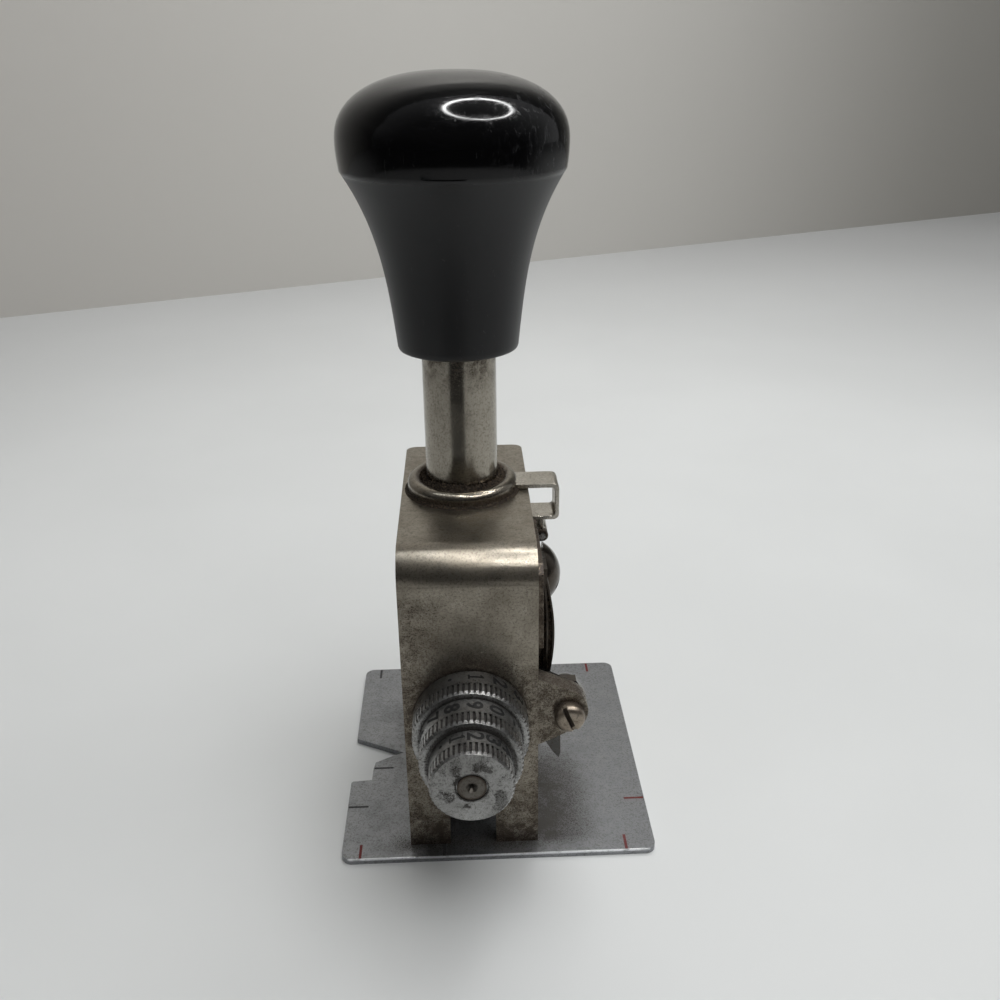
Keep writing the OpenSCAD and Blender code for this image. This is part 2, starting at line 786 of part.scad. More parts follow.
module head_yoke() {
  color(steel) difference() {
    translate([dial_x - head_half_w, head_front_y, yoke_z])
      cube([2 * head_half_w, yoke_rear_y - head_front_y, yoke_t]);
    translate([0, 0, yoke_z]) flat_hole(yoke_screw_r, yoke_t + 1, yoke_screw_head_r);
    for (side = [-1, 1]) translate([dial_x + side * guide_x, guide_y, yoke_z - 1])
      cylinder(r = rod_r + run_gap, h = yoke_t + 2);
    head_screw_spots() flat_hole(head_screw_r, head_screw_l, head_screw_head_r);
  }
}

// Outline of the head's front and rear plates
module head_plate_outline() {
  polygon([
    [-head_half_w, yoke_z], [-head_half_w, head_low_z + 4], [-head_half_w + 5.5, head_low_z],
    [head_half_w - 5.5, head_low_z], [head_half_w, head_low_z + 4], [head_half_w, yoke_z]
  ]);
}

module head_plate(y0, bore) {
  difference() {
    translate([dial_x, 0, 0]) plate_y(y0, y0 + head_plate_t) head_plate_outline();
    rod_y(dial_x, dial_z, y0 - 1, y0 + head_plate_t + 1, bore + run_gap);
    rod_y(dial_x, nose_z, y0 - 1, y0 + head_plate_t + 1, nose_r - 0.8 + press_gap);
    for (side = [-1, 1])
      rod_y(dial_x + side * tie_x, tie_z, y0 - 1, y0 + head_plate_t + 1, tie_r - 0.4 + press_gap);
    head_screw_spots() cylinder(r = head_screw_r + press_gap, h = head_screw_l + 0.1);
  }
}

module head_front_plate() {
  color(steel) difference() {
    head_plate(head_front_y, large_sleeve_r);
    rod_y(pin_x, pin_z, head_front_y - 1, head_front_y + head_plate_t + 1, pin_r + press_gap);
  }
}

module head_rear_plate() {
  color(steel) head_plate(head_rear_y - head_plate_t, shaft_r);
}

module head_screws() {
  color(dark_steel) head_screw_spots()
    flat_screw(head_screw_r, head_screw_l, head_screw_head_r);
}

module shouldered_bar(x, z, r, neck) {
  rod_y(x, z, head_front_y + head_plate_t, head_rear_y - head_plate_t, r);
  rod_y(x, z, head_front_y, head_rear_y, neck);
}

module nose_bar() {
  color(steel) shouldered_bar(dial_x, nose_z, nose_r, nose_r - 0.8);
}

module tie_rods() {
  color(steel) for (side = [-1, 1])
    shouldered_bar(dial_x + side * tie_x, tie_z, tie_r, tie_r - 0.4);
}

module drive_pin() {
  color(steel) rod_y(pin_x, pin_z, arm_front, head_front_y + head_plate_t, pin_r);
}

// ---------- type bands ----------

belt_drum_r = drum_r + belt_gap;
belt_nose_r = nose_r + belt_gap;
belt_lean = asin((belt_drum_r - belt_nose_r) / belt_span);
belt_straight = sqrt(pow(belt_span, 2) - pow(belt_drum_r - belt_nose_r, 2));
nose_arc = (belt_nose_r + belt_t) * (90 - belt_lean) * PI / 180;
drum_arc = (belt_drum_r + belt_t) * (180 + 2 * belt_lean) * PI / 180;
belt_length = 2 * nose_arc + 2 * belt_straight + drum_arc;

// Foot and direction of a type block, s along the band from the imprint
function belt_place(s) =
  s > belt_length / 2 ? let (p = belt_place(belt_length - s)) [-p[0], p[1], 180 - p[2]] :
  s < nose_arc ? let (turn = -90 + s / (belt_nose_r + belt_t) * 180 / PI)
    [(belt_nose_r + belt_t) * cos(turn), -belt_span + (belt_nose_r + belt_t) * sin(turn), turn] :
  s < nose_arc + belt_straight ? let (u = s - nose_arc)
    [(belt_nose_r + belt_t) * cos(belt_lean) + u * sin(belt_lean),
     -belt_span - (belt_nose_r + belt_t) * sin(belt_lean) + u * cos(belt_lean), -belt_lean] :
  let (turn = -belt_lean + (s - nose_arc - belt_straight) / (belt_drum_r + belt_t) * 180 / PI)
    [(belt_drum_r + belt_t) * cos(turn), (belt_drum_r + belt_t) * sin(turn), turn];

module belt_outline(extra) {
  rotate(-90) round_bar(belt_span, belt_drum_r + extra, belt_nose_r + extra);
}

module type_band_figure() {
  difference() {
    union() {
      belt_outline(belt_t);
      for (i = [0 : band_places - 1])
        let (place = belt_place(i * belt_length / band_places))
          translate([place[0], place[1]]) rotate(place[2])
            translate([-0.5, -type_w / 2]) square([type_h + 0.5, type_w]);
    }
    belt_outline(0);
  }
}

function band_y(i) = print_y + (i - 1) * band_pitch;
function drum_low(i) = band_y(i) - drum_w / 2;

module type_bands() {
  color("#2b2523") for (i = [0 : 2])
    plate_y(drum_low(i), drum_low(i) + band_w)
      translate([dial_x, dial_z]) type_band_figure();
}

module detent_springs() {
  tip_z = dial_z + star_r + 0.35;
  color(steel) for (i = [0 : 2])
    plate_y(drum_low(i) + drum_w - star_w, drum_low(i) + drum_w) translate([dial_x, 0])
      polygon([
        [-9, yoke_z], [-5, yoke_z], [-5, yoke_z - 0.5], [0, tip_z + 0.6], [1.2, tip_z + 1.4],
        [1.5, tip_z + 1], [0.2, tip_z], [-0.4, tip_z], [-5.6, yoke_z - 1.1], [-9, yoke_z - 0.8]
      ]);
}

// Band drum with its notched detent wheel
module drum(i, bore) {
  low = drum_low(i);
  difference() {
    union() {
      rod_y(dial_x, dial_z, low, low + drum_w, drum_r);
      plate_y(low + drum_w - star_w, low + drum_w) translate([dial_x, dial_z]) difference() {
        circle(r = star_r);
        for (k = [0 : band_places - 1]) rotate(90 + 360 * k / band_places)
          translate([star_r + 0.2, 0]) circle(r = 1);
      }
    }
    rod_y(dial_x, dial_z, low - 1, low + drum_w + 1, bore + press_gap);
  }
}

// ---------- dials ----------

// Rim with a plain strip for its figures at the back and a knurled strip in front
module dial(face, back, r, bore) {
  difference() {
    union() {
      rod_y(dial_x, dial_z, face + knurl_w, back, r);
      translate([dial_x, face + knurl_w, dial_z]) rotate([90, 0, 0]) intersection() {
        linear_extrude(knurl_w) knurl_figure(r - 0.05);
        cylinder(r1 = r - rim_chamfer + knurl_w, r2 = r - rim_chamfer, h = knurl_w);
      }
    }
    rod_y(dial_x, dial_z, face - 1, back + 1, bore + press_gap);
  }
}

module sleeve(face, back, inner, outer) {
  difference() {
    rod_y(dial_x, dial_z, face, back, outer);
    rod_y(dial_x, dial_z, face - 1, back + 1, inner);
  }
}

module large_dial() {
  color(steel) dial(large_face, large_back, large_dial_r, large_sleeve_r);
}

module large_sleeve() {
  color(steel) sleeve(large_face, drum_low(0) + drum_w, large_sleeve_in, large_sleeve_r);
}

module large_drum() {
  color(steel) drum(0, large_sleeve_r);
}

module middle_dial() {
  color(steel) dial(middle_face, middle_back, middle_dial_r, middle_sleeve_r);
}

module middle_sleeve() {
  color(steel) sleeve(middle_face, drum_low(1) + drum_w, sleeve_in, middle_sleeve_r);
}

module middle_drum() {
  color(steel) drum(1, middle_sleeve_r);
}

module small_dial() {
  color(steel) difference() {
    dial(small_face, small_back, small_dial_r, shaft_r);
    // Open ring round the riveted shaft end
    rod_y(dial_x, dial_z, small_face - 1, small_face + 0.5, shaft_r + 0.25);
  }
}

module center_shaft() {
  color(dark_steel) difference() {
    rod_y(dial_x, dial_z, small_face, head_rear_y + 1.6, shaft_r);
    translate([dial_x, small_face + 1.2, dial_z]) rotate([90, 0, 0])
      cylinder(r1 = 0, r2 = 1.3, h = 1.3);
  }
}

module small_drum() {
  color(steel) drum(2, shaft_r);
}

module shaft_clip() {
  color(dark_steel) difference() {
    rod_y(dial_x, dial_z, head_rear_y + 0.2, head_rear_y + 1, 4.6);
    rod_y(dial_x, dial_z, head_rear_y - 1, head_rear_y + 3, shaft_r + press_gap);
  }
}

base_plate();
base_screws();
front_strap();
left_side_plate();
right_side_plate();
rear_wall();
side_screws();
guide_bushing();
guide_rods();
return_springs();
side_bracket();
domed_screw();
domed_screw_nut();
leaf_spring();
catch_pin();
finger_catch();
pivot_screw();
pivot_nut();
inking_arm();
roller_axle();
axle_clip();
roller_core();
roller_felt();
press_knob();
plunger_post();
post_plug();
yoke_screw();
stop_washer();
head_yoke();
head_front_plate();
head_rear_plate();
head_screws();
nose_bar();
tie_rods();
type_bands();
detent_springs();
drive_pin();
large_dial();
large_sleeve();
large_drum();
middle_dial();
middle_sleeve();
middle_drum();
small_dial();
center_shaft();
small_drum();
shaft_clip();
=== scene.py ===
"""Looks of the numbering machine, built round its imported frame. Metres, +Z up.

Sizes in the code are in millimetres where a name ends in _MM or a helper says so;
MM turns them into metres.
"""

import json
import math
import random

import bmesh
import bpy
from mathutils import Matrix, Vector


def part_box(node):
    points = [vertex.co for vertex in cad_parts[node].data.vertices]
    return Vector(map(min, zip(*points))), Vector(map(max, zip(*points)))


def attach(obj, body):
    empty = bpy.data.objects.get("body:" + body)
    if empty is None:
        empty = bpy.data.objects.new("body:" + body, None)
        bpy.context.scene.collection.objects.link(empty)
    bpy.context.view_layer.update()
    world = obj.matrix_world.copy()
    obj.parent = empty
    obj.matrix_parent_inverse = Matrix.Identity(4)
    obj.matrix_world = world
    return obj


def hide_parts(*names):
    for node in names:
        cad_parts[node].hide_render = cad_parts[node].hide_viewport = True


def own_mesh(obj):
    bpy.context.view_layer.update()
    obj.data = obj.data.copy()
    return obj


MM = 0.001

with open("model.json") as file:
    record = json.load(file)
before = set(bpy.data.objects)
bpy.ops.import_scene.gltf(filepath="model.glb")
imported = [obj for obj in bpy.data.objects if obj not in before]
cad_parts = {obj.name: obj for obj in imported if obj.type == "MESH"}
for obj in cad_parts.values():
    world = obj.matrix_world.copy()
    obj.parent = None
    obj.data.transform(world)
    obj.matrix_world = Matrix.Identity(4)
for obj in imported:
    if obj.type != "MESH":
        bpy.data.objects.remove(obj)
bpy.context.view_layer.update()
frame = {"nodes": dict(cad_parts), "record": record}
nodes = frame["nodes"]
scene = bpy.context.scene
rng = random.Random(11)


# ---------------------------------------------------------------- camera

CAMERA_PLACE_MM = (1.0, -229.66, 176.36)
CAMERA_YAW = math.radians(1.978)
CAMERA_PITCH = math.radians(-24.052)
CAMERA_ROLL = math.radians(-0.749)
CAMERA_LENS_MM = 37.58


def make_camera():
    """The photograph's camera: yaw right of +Y, pitch up, roll about the view."""
    yaw, pitch, roll = CAMERA_YAW, CAMERA_PITCH, CAMERA_ROLL
    ahead = Vector((
        math.sin(yaw) * math.cos(pitch), math.cos(yaw) * math.cos(pitch), math.sin(pitch)
    ))
    right = Vector((math.cos(yaw), -math.sin(yaw), 0))
    up = right.cross(ahead)
    rolled_right = right * math.cos(roll) + up * math.sin(roll)
    rolled_up = -right * math.sin(roll) + up * math.cos(roll)
    data = bpy.data.cameras.new("camera")
    data.sensor_width = 36
    data.lens = CAMERA_LENS_MM
    data.clip_start = 0.01
    camera = bpy.data.objects.new("camera", data)
    scene.collection.objects.link(camera)
    turn = Matrix((rolled_right, rolled_up, -ahead)).transposed()
    camera.matrix_world = Matrix.Translation(Vector(CAMERA_PLACE_MM) * MM) @ turn.to_4x4()
    scene.camera = camera


make_camera()


# ---------------------------------------------------------------- node helpers

class Shader:
    """A material's node tree with short calls to add and link nodes."""

    def __init__(self, name):
        self.material = bpy.data.materials.new(name)
        self.material.use_nodes = True
        self.tree = self.material.node_tree
        self.tree.nodes.clear()
        self.out = self.tree.nodes.new("ShaderNodeOutputMaterial")
        self.surface = self.tree.nodes.new("ShaderNodeBsdfPrincipled")
        self.link(self.surface.outputs[0], self.out.inputs["Surface"])
        place = self.tree.nodes.new("ShaderNodeTexCoord")
        self.mm = self.vector("SCALE", place.outputs["Object"], scale=1 / MM)

    def link(self, source, socket):
        self.tree.links.new(source, socket)

    def feed(self, socket, value):
        if isinstance(value, bpy.types.NodeSocket):
            self.link(value, socket)
        else:
            socket.default_value = value

    def vector(self, operation, first, second=None, scale=None):
        node = self.tree.nodes.new("ShaderNodeVectorMath")
        node.operation = operation
        self.feed(node.inputs[0], first)
        if second is not None:
            self.feed(node.inputs[1], second)
        if scale is not None:
            node.inputs["Scale"].default_value = scale
        return node.outputs["Value" if operation in ("LENGTH", "DOT_PRODUCT") else "Vector"]

    def math(self, operation, first, second=0.0, clamp=False):
        node = self.tree.nodes.new("ShaderNodeMath")
        node.operation = operation
        node.use_clamp = clamp
        self.feed(node.inputs[0], first)
        self.feed(node.inputs[1], second)
        return node.outputs[0]

    def axis(self, letter):
        """One coordinate in millimetres."""
        node = self.tree.nodes.new("ShaderNodeSeparateXYZ")
        self.link(self.mm, node.inputs[0])
        return node.outputs[letter]

    def stretched(self, factors):
        return self.vector("MULTIPLY", self.mm, factors)

    def distance(self, centre_mm, along=(1, 1, 1)):
        """Distance in millimetres from a point, counting only the axes in along."""
        moved = self.vector("ADD", self.mm, tuple(-c for c in centre_mm))
        return self.vector("LENGTH", self.vector("MULTIPLY", moved, along))

    def noise(self, scale, detail=3.0, rough=0.55, place=None, distort=0.0):
        """Noise of 0 to 1; scale counts features to a millimetre."""
        node = self.tree.nodes.new("ShaderNodeTexNoise")
        self.link(place or self.mm, node.inputs["Vector"])
        node.inputs["Scale"].default_value = scale
        node.inputs["Detail"].default_value = detail
        node.inputs["Roughness"].default_value = rough
        node.inputs["Distortion"].default_value = distort
        return node.outputs[0]

    def ramp(self, value, low, high, start=0.0, end=1.0):
        """start below low, end above high, smooth between."""
        node = self.tree.nodes.new("ShaderNodeMapRange")
        node.interpolation_type = "SMOOTHSTEP"
        self.feed(node.inputs["Value"], value)
        node.inputs["From Min"].default_value = low
        node.inputs["From Max"].default_value = high
        node.inputs["To Min"].default_value = start
        node.inputs["To Max"].default_value = end
        return node.outputs[0]

    def mix(self, share, first, second):
        """Colour first where share is 0, second where it is 1."""
        node = self.tree.nodes.new("ShaderNodeMix")
        node.data_type = "RGBA"
        self.feed(node.inputs[0], share)
        self.feed(node.inputs[6], first)
        self.feed(node.inputs[7], second)
        return node.outputs[2]

    def bump(self, height, strength, distance_mm=0.1):
        node = self.tree.nodes.new("ShaderNodeBump")
        node.inputs["Strength"].default_value = strength
        node.inputs["Distance"].default_value = distance_mm * MM
        self.link(height, node.inputs["Height"])
        self.link(node.outputs[0], self.surface.inputs["Normal"])

    def set(self, **sockets):
        for name, value in sockets.items():
            self.feed(self.surface.inputs[name.replace("_", " ")], value)
        return self.material


def rgb(red, green, blue):
    return (red, green, blue, 1.0)


# ---------------------------------------------------------------- materials

DIAL_AXIS_MM = (0.4, 37.0)
PIVOT_AXIS_MM = (22.5, 37.4)
XY_ONLY = (1, 1, 0)
XZ_ONLY = (1, 0, 1)
GRIT = 0.42
# Pale metal for a painted highlight.
EDGE_HIGHLIGHT_METAL = rgb(0.85, 0.86, 0.88)
KNOB_CREASE_DOWN_MM = 19.7
KNOB_CREASE_Z_MM = 170.0 - KNOB_CREASE_DOWN_MM


def worn_metal(
    name, bright, dull, rough, tarnish=0.6, specks=0.5, grain=(1, 1, 1), bump=0.25,
    speck_colour=rgb(0.046, 0.031, 0.020), dirt_and_shade=None, scuff_and_highlight=None,
):
    """Plated or bare metal: clouds of tarnish, fine grain, dirt specks, and where asked, dirt with
    painted shade and a painted highlight.

    The mask of dirt and shade gives 0 to 1 where dirt lies thicker and where shade is painted in
    the dirt's colour; the mask of highlight gives 0 to 1 where a highlight is painted in a pale
    metal colour.
    """
    s = Shader(name)
    cloud = s.noise(0.11, 4)
    patch = s.noise(0.45, 5, 0.6)
    fine = s.noise(5.0, 3, 0.6, s.stretched(grain))
    spot = s.noise(2.1, 5, 0.7)
    pit = s.noise(4.2, 3, 0.6)
    haze = s.math("ADD", s.math("MULTIPLY", cloud, 0.65), s.math("MULTIPLY", patch, 0.35))
    haze = s.ramp(haze, 0.34, 0.72)
    limit = 0.70 - 0.10 * specks
    dirt = s.math("MULTIPLY", s.ramp(spot, limit, limit + 0.03), s.ramp(patch, 0.40, 0.60))
    dots = s.math("MULTIPLY", s.ramp(pit, limit - 0.01, limit + 0.04), 0.6)
    dirt = s.math("MAXIMUM", dirt, dots)
    metal = s.mix(s.math("MULTIPLY", haze, tarnish), bright, dull)
    metal = s.mix(s.ramp(fine, 0.35, 0.7, 0.0, 0.3), metal, dull)
    grit = s.noise(1.8, 4, 0.85)
    metal = s.mix(s.ramp(grit, 0.51, 0.60, 0.0, GRIT), metal, speck_colour)
    # Painted highlight: pale metal where the highlight mask is.
    if scuff_and_highlight:
        metal = s.mix(scuff_and_highlight(s), metal, EDGE_HIGHLIGHT_METAL)
    # Dirt, and shade painted in the dirt's colour, where that mask is.
    if dirt_and_shade:
        more = dirt_and_shade(s)
        crumbs = s.math("ADD", s.math("MAXIMUM", spot, pit), s.math("MULTIPLY", more, 0.17))
        crumbs = s.ramp(crumbs, limit, limit + 0.03)
        dirt = s.math("MAXIMUM", dirt, s.math("MULTIPLY", crumbs, s.ramp(more, 0.02, 0.3)))
        tint = s.math("MULTIPLY", more, s.math("ADD", s.math("MULTIPLY", more, 0.5), 0.4))
        metal = s.mix(tint, metal, speck_colour)
    colour = s.mix(dirt, metal, speck_colour)
    gloss = s.math("ADD", s.math("MULTIPLY", haze, 0.14), s.math("MULTIPLY", fine, 0.10))
    gloss = s.math("ADD", gloss, rough - 0.08)
    gloss = s.math("ADD", gloss, s.math("MULTIPLY", dirt, 0.35), True)
    relief = s.math("ADD", s.math("MULTIPLY", fine, 0.35), s.math("MULTIPLY", dirt, 0.6))
    s.bump(relief, bump, 0.08)
    shine = s.math("SUBTRACT", 1.0, s.math("MULTIPLY", dirt, 0.85), True)
    return s.set(Base_Color=colour, Roughness=gloss, Metallic=shine)


def from_dial_axis(s):
    """Distance from the dials' axis in millimetres."""
    return s.distance((DIAL_AXIS_MM[0], 0, DIAL_AXIS_MM[1]), XZ_ONLY)


def housing_dirt_and_shade(s):
    """Rusty dirt low on the legs, along the left edge and on the ear; painted shade and reflection
    of the dials round them on the front; darker round the screw.
    """
    front = s.ramp(s.axis("Y"), -33.0, -31.0, 1.0, 0.0)
    low = s.ramp(s.axis("Z"), 2.0, 32.0, 1.0, 0.0)
    left = s.ramp(s.axis("X"), -14.4, 3.0, 0.62, 0.0)
    left = s.math("MULTIPLY", left, s.ramp(s.axis("Y"), -33.0, -27.0, 1.0, 0.3))
    left = s.math("MULTIPLY", left, s.ramp(s.axis("Z"), 65.0, 70.0, 1.0, 0.2))
    ear = s.math("MULTIPLY", s.ramp(s.axis("X"), 9.0, 17.0, 0.15, 0.82),
                 s.ramp(s.axis("Z"), 46.0, 54.0, 1.0, 0.15))
    # Painted shade and reflection of the dials on the front face round them.
    dials = s.ramp(from_dial_axis(s), 13.0, 21.0, 0.9, 0.0)
    # Darker round the pivot screw's head.
    from_screw = s.distance((PIVOT_AXIS_MM[0], 0, PIVOT_AXIS_MM[1]), XZ_ONLY)
    screw = s.ramp(from_screw, 3.8, 6.6, 1.0, 0.0)
    ear = s.math("MULTIPLY", s.math("MAXIMUM", ear, s.math("MAXIMUM", dials, screw)), front)
    most = s.math("MAXIMUM", s.math("MAXIMUM", low, left), ear)
    patchy = s.ramp(s.noise(0.45, 6, 0.72), 0.36, 0.62, 0.45, 1.0)
    return s.math("MULTIPLY", most, patchy, True)


def round_the_post(s):
    """Grime packed in the bushing's recess, and dirt with painted shade under its lip."""
    inside = s.ramp(s.distance((0, 0, 0), XY_ONLY), 10.4, 11.9, 1.0, 0.0)
    inside = s.math("MULTIPLY", inside, s.ramp(s.axis("Z"), 78.0, 78.8))
    # Under the lip: dirt and painted shade.
    under = s.ramp(s.axis("Z"), 78.6, 79.9, 1.0, 0.0)
    patchy = s.ramp(s.noise(0.5, 4), 0.3, 0.55, 0.4, 1.0)
    return s.math("MULTIPLY", s.math("MAXIMUM", inside, under), patchy, True)


def foot_of_the_post(s):
    """Dirt on the post just above the bushing, and thin under the knob."""
    foot = s.ramp(s.axis("Z"), 80.5, 86.5, 1.0, 0.0)
    top = s.ramp(s.axis("Z"), 100.0, 112.0, 0.0, 0.75)
    patchy = s.ramp(s.noise(0.4, 4), 0.40, 0.58)
    return s.math("MULTIPLY", s.math("MAXIMUM", foot, top), patchy, True)


def shade_beside_housing(s):
    """Painted shadow and reflection, smeared and patchy, on the plate to the right of the legs, and
    painted shadow in front of them.
    """
    x, y = s.axis("X"), s.axis("Y")
    # Painted shadow and reflection on the plate right of the legs.
    right = s.math("MULTIPLY", s.ramp(x, 19.0, 35.0, 1.0, 0.0), s.ramp(x, 13.0, 15.0))
    right = s.math("MULTIPLY", right, s.ramp(y, -16.0, 6.0, 1.0, 0.0))
    right = s.math("MULTIPLY", right, s.ramp(y, -39.5, -35.0))
    # Painted shadow on the plate in front of the housing.
    front = s.math("MULTIPLY", s.ramp(y, -40.0, -37.0, 0.15, 0.8),
                   s.ramp(y, -37.0, -30.0, 1.0, 0.3))
    front = s.math("MULTIPLY", front, s.ramp(s.math("ABSOLUTE", x), 12.0, 26.0, 1.0, 0.0))
    patchy = s.ramp(s.noise(0.2, 5, 0.7), 0.30, 0.65, 0.68, 1.0)
    return s.math("MULTIPLY", s.math("MAXIMUM", right, front), patchy, True)


def edge_highlight(s):
    """A painted highlight along the plate's upper front edge."""
    edge = s.math("MULTIPLY", s.ramp(s.axis("Y"), -40.7, -40.45, 1.0, 0.0),
                  s.ramp(s.axis("Z"), 0.8, 1.25))
    return s.math("MULTIPLY", edge, s.ramp(s.noise(0.5, 3), 0.3, 0.5, 0.4, 1.0))


def screw_slot_shade(s):
    """Painted shade in the pivot screw's slot, and darker towards the back of its head."""
    low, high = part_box("pivot_screw")
    x, z, front = (low.x + high.x) / 2 / MM, (low.z + high.z) / 2 / MM, low.y / MM
    # Painted shade in the slot.
    inner = s.ramp(s.distance((x, 0, z), XZ_ONLY), 2.5, 2.9, 1.0, 0.0)
    slot = s.math("MULTIPLY", inner, s.ramp(s.axis("Y"), front + 0.5, front + 0.9))
    # Darker towards the back of the head.
    return s.math("MAXIMUM", slot, s.ramp(s.axis("Y"), front + 1.6, front + 3.0, 0.0, 0.8))


def all_over(s):
    """Uneven dirt on every side of a small fitting."""
    return s.ramp(s.noise(0.35, 5, 0.65), 0.38, 0.62, 0.2, 1.0)


DIAL_NODES = ("large_dial", "middle_dial", "small_dial")
KNURL_W_MM = 3.4


def dial_size(node_name):
    """A dial's rim radius, front face and back face in millimetres."""
    low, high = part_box(node_name)
    return (high.x - low.x) / 2 / MM, low.y / MM, high.y / MM


def dial_dirt_and_shade(s):
    """Black dirt with painted shade between the knurl's teeth and on each larger dial's face next
    to the smaller one, patchy darkening at the steps, and dirt in patches on the front.
    """
    away = from_dial_axis(s)
    depth = s.axis("Y")

    def near(value, level, full, none, most=1.0):
        off = s.math("ABSOLUTE", s.math("SUBTRACT", value, level))
        return s.ramp(off, full, none, most, 0.0)

    patchy = s.ramp(s.noise(0.45, 5, 0.65), 0.42, 0.6)
    most = None
    for node_name in DIAL_NODES:
        radius, face, back = dial_size(node_name)
        # Dirt and painted shade in the knurl's grooves.
        teeth = s.math("MULTIPLY", near(away, radius - 0.36, 0.10, 0.30),
                       near(depth, face + 2.2, 1.2, 1.6, 0.95))
        # Patchy darkening at the step behind each dial's rim.
        step = s.math("MULTIPLY", near(away, radius, 0.05, 0.3),
                      s.ramp(depth, back - 1.3, back, 0.0, 0.9))
        here = s.math("MAXIMUM", teeth, s.math("MULTIPLY", step, patchy))
        # Dirt and painted shade on the larger dials' faces next to the smaller dial.
        if node_name != "small_dial":
            inner = s.math("MULTIPLY", s.ramp(away, radius - 1.7, radius - 0.7, 0.85, 0.0),
                           near(depth, face, 0.15, 0.3))
            here = s.math("MAXIMUM", here, inner)
        most = here if most is None else s.math("MAXIMUM", most, here)
    small_face = dial_size("small_dial")[1]
    on_front = s.ramp(depth, small_face - 0.06, small_face + 0.24, 1.0, 0.0)
    smudge = s.math("MULTIPLY", s.ramp(s.noise(0.26, 5, 0.65), 0.50, 0.60),
                    s.ramp(away, 2.6, 8.6, 1.0, 0.3))
    smudge = s.math("ADD", smudge, s.ramp(away, 3.3, 3.8, 1.0, 0.20))
    film = s.ramp(s.noise(0.33, 5, 0.65), 0.36, 0.62, 0.0, 0.36)
    film = s.math("MULTIPLY", film, s.math("SUBTRACT", 1.0, on_front))
    most = s.math("MAXIMUM", most, film)
    return s.math("MAXIMUM", most, s.math("MULTIPLY", on_front, smudge), True)


def shaft_rim(s):
    """Dirt round the rim of the shaft's end."""
    return s.ramp(from_dial_axis(s), 2.4, 3.0, 0.15, 1.0)


def knob_plastic():
    """Glossy black cap above the crease, satin scuffed neck below it."""
    s = Shader("knob_black")
    cap = s.ramp(s.axis("Z"), KNOB_CREASE_Z_MM - 0.9, KNOB_CREASE_Z_MM + 0.9)
    cloud = s.noise(0.07, 4)
    wear = s.noise(0.9, 5, 0.7, s.stretched((1, 1, 0.35)), 0.6)
    nick = s.ramp(s.noise(2.0, 4, 0.7, s.stretched((1, 1, 0.12)), 1.2), 0.66, 0.69)
    smear = s.ramp(s.noise(0.22, 5, 0.65, s.stretched((1, 1, 2.2)), 1.5), 0.5, 0.7)
    scuff_and_highlight = s.math("MULTIPLY", s.ramp(s.axis("X"), 3.0, 20.0), s.ramp(wear, 0.5, 0.68))
    scuff_and_highlight = s.math("MULTIPLY", scuff_and_highlight, cap)
    neck_colour = s.mix(s.ramp(cloud, 0.35, 0.7),
                        rgb(0.003, 0.003, 0.004), rgb(0.006, 0.006, 0.007))
    cap_colour = s.mix(s.math("MULTIPLY", smear, 0.5),
                       rgb(0.0012, 0.0012, 0.0015), rgb(0.004, 0.004, 0.005))
    cap_colour = s.mix(s.math("MULTIPLY", scuff_and_highlight, 0.7), cap_colour, rgb(0.035, 0.035, 0.037))
    colour = s.mix(cap, neck_colour, cap_colour)
    colour = s.mix(s.math("MULTIPLY", nick, 0.5), colour, rgb(0.05, 0.05, 0.05))
    neck_gloss = s.math("ADD", 0.33, s.math("MULTIPLY", cloud, 0.14))
    cap_gloss = s.math("ADD", s.math("ADD", 0.09, s.math("MULTIPLY", smear, 0.10)),
                       s.math("MULTIPLY", scuff_and_highlight, 0.25))
    gloss = s.math("ADD", s.math("MULTIPLY", cap, cap_gloss),
                   s.math("MULTIPLY", s.math("SUBTRACT", 1.0, cap), neck_gloss))
    gloss = s.math("ADD", gloss, s.math("MULTIPLY", nick, 0.12), True)
    s.bump(s.math("SUBTRACT", wear, nick), 0.10, 0.05)
    return s.set(Base_Color=colour, Roughness=gloss, Specular_IOR_Level=0.36)


def painted_line(name, colour, worn):
    """Paint in an engraved line or figure, rubbed through in places."""
    s = Shader(name)
    rub = s.ramp(s.noise(2.6, 4, 0.7), 0.50, 0.66)
    mixed = s.mix(s.math("MULTIPLY", rub, worn), colour, rgb(0.16, 0.16, 0.16))
    return s.set(Base_Color=mixed, Roughness=s.math("ADD", 0.55, s.math("MULTIPLY", rub, 0.2)),
                 Specular_IOR_Level=0.25)


def felt():
    """Wool felt, dark with ink."""
    s = Shader("ink_felt")
    wool = s.noise(3.0, 6, 0.75)
    wet = s.ramp(s.noise(0.25, 3), 0.4, 0.6)
    colour = s.mix(wet, rgb(0.028, 0.022, 0.045), rgb(0.010, 0.008, 0.018))
    colour = s.mix(s.ramp(wool, 0.55, 0.8, 0.0, 0.5), colour, rgb(0.06, 0.05, 0.08))
    s.bump(wool, 0.9, 0.25)
    return s.set(Base_Color=colour, Roughness=s.math("ADD", 0.7, s.math("MULTIPLY", wool, 0.25)),
                 Sheen_Weight=0.25)


def rubber():
    """Dusty dark rubber of the type bands."""
    s = Shader("band_rubber")
    dust = s.noise(0.8, 5, 0.65)
    colour = s.mix(s.ramp(dust, 0.4, 0.7), rgb(0.028, 0.022, 0.020), rgb(0.065, 0.052, 0.046))
    s.bump(s.noise(6.0, 3), 0.2, 0.05)
    return s.set(Base_Color=colour, Roughness=s.math("ADD", 0.55, s.math("MULTIPLY", dust, 0.3)))


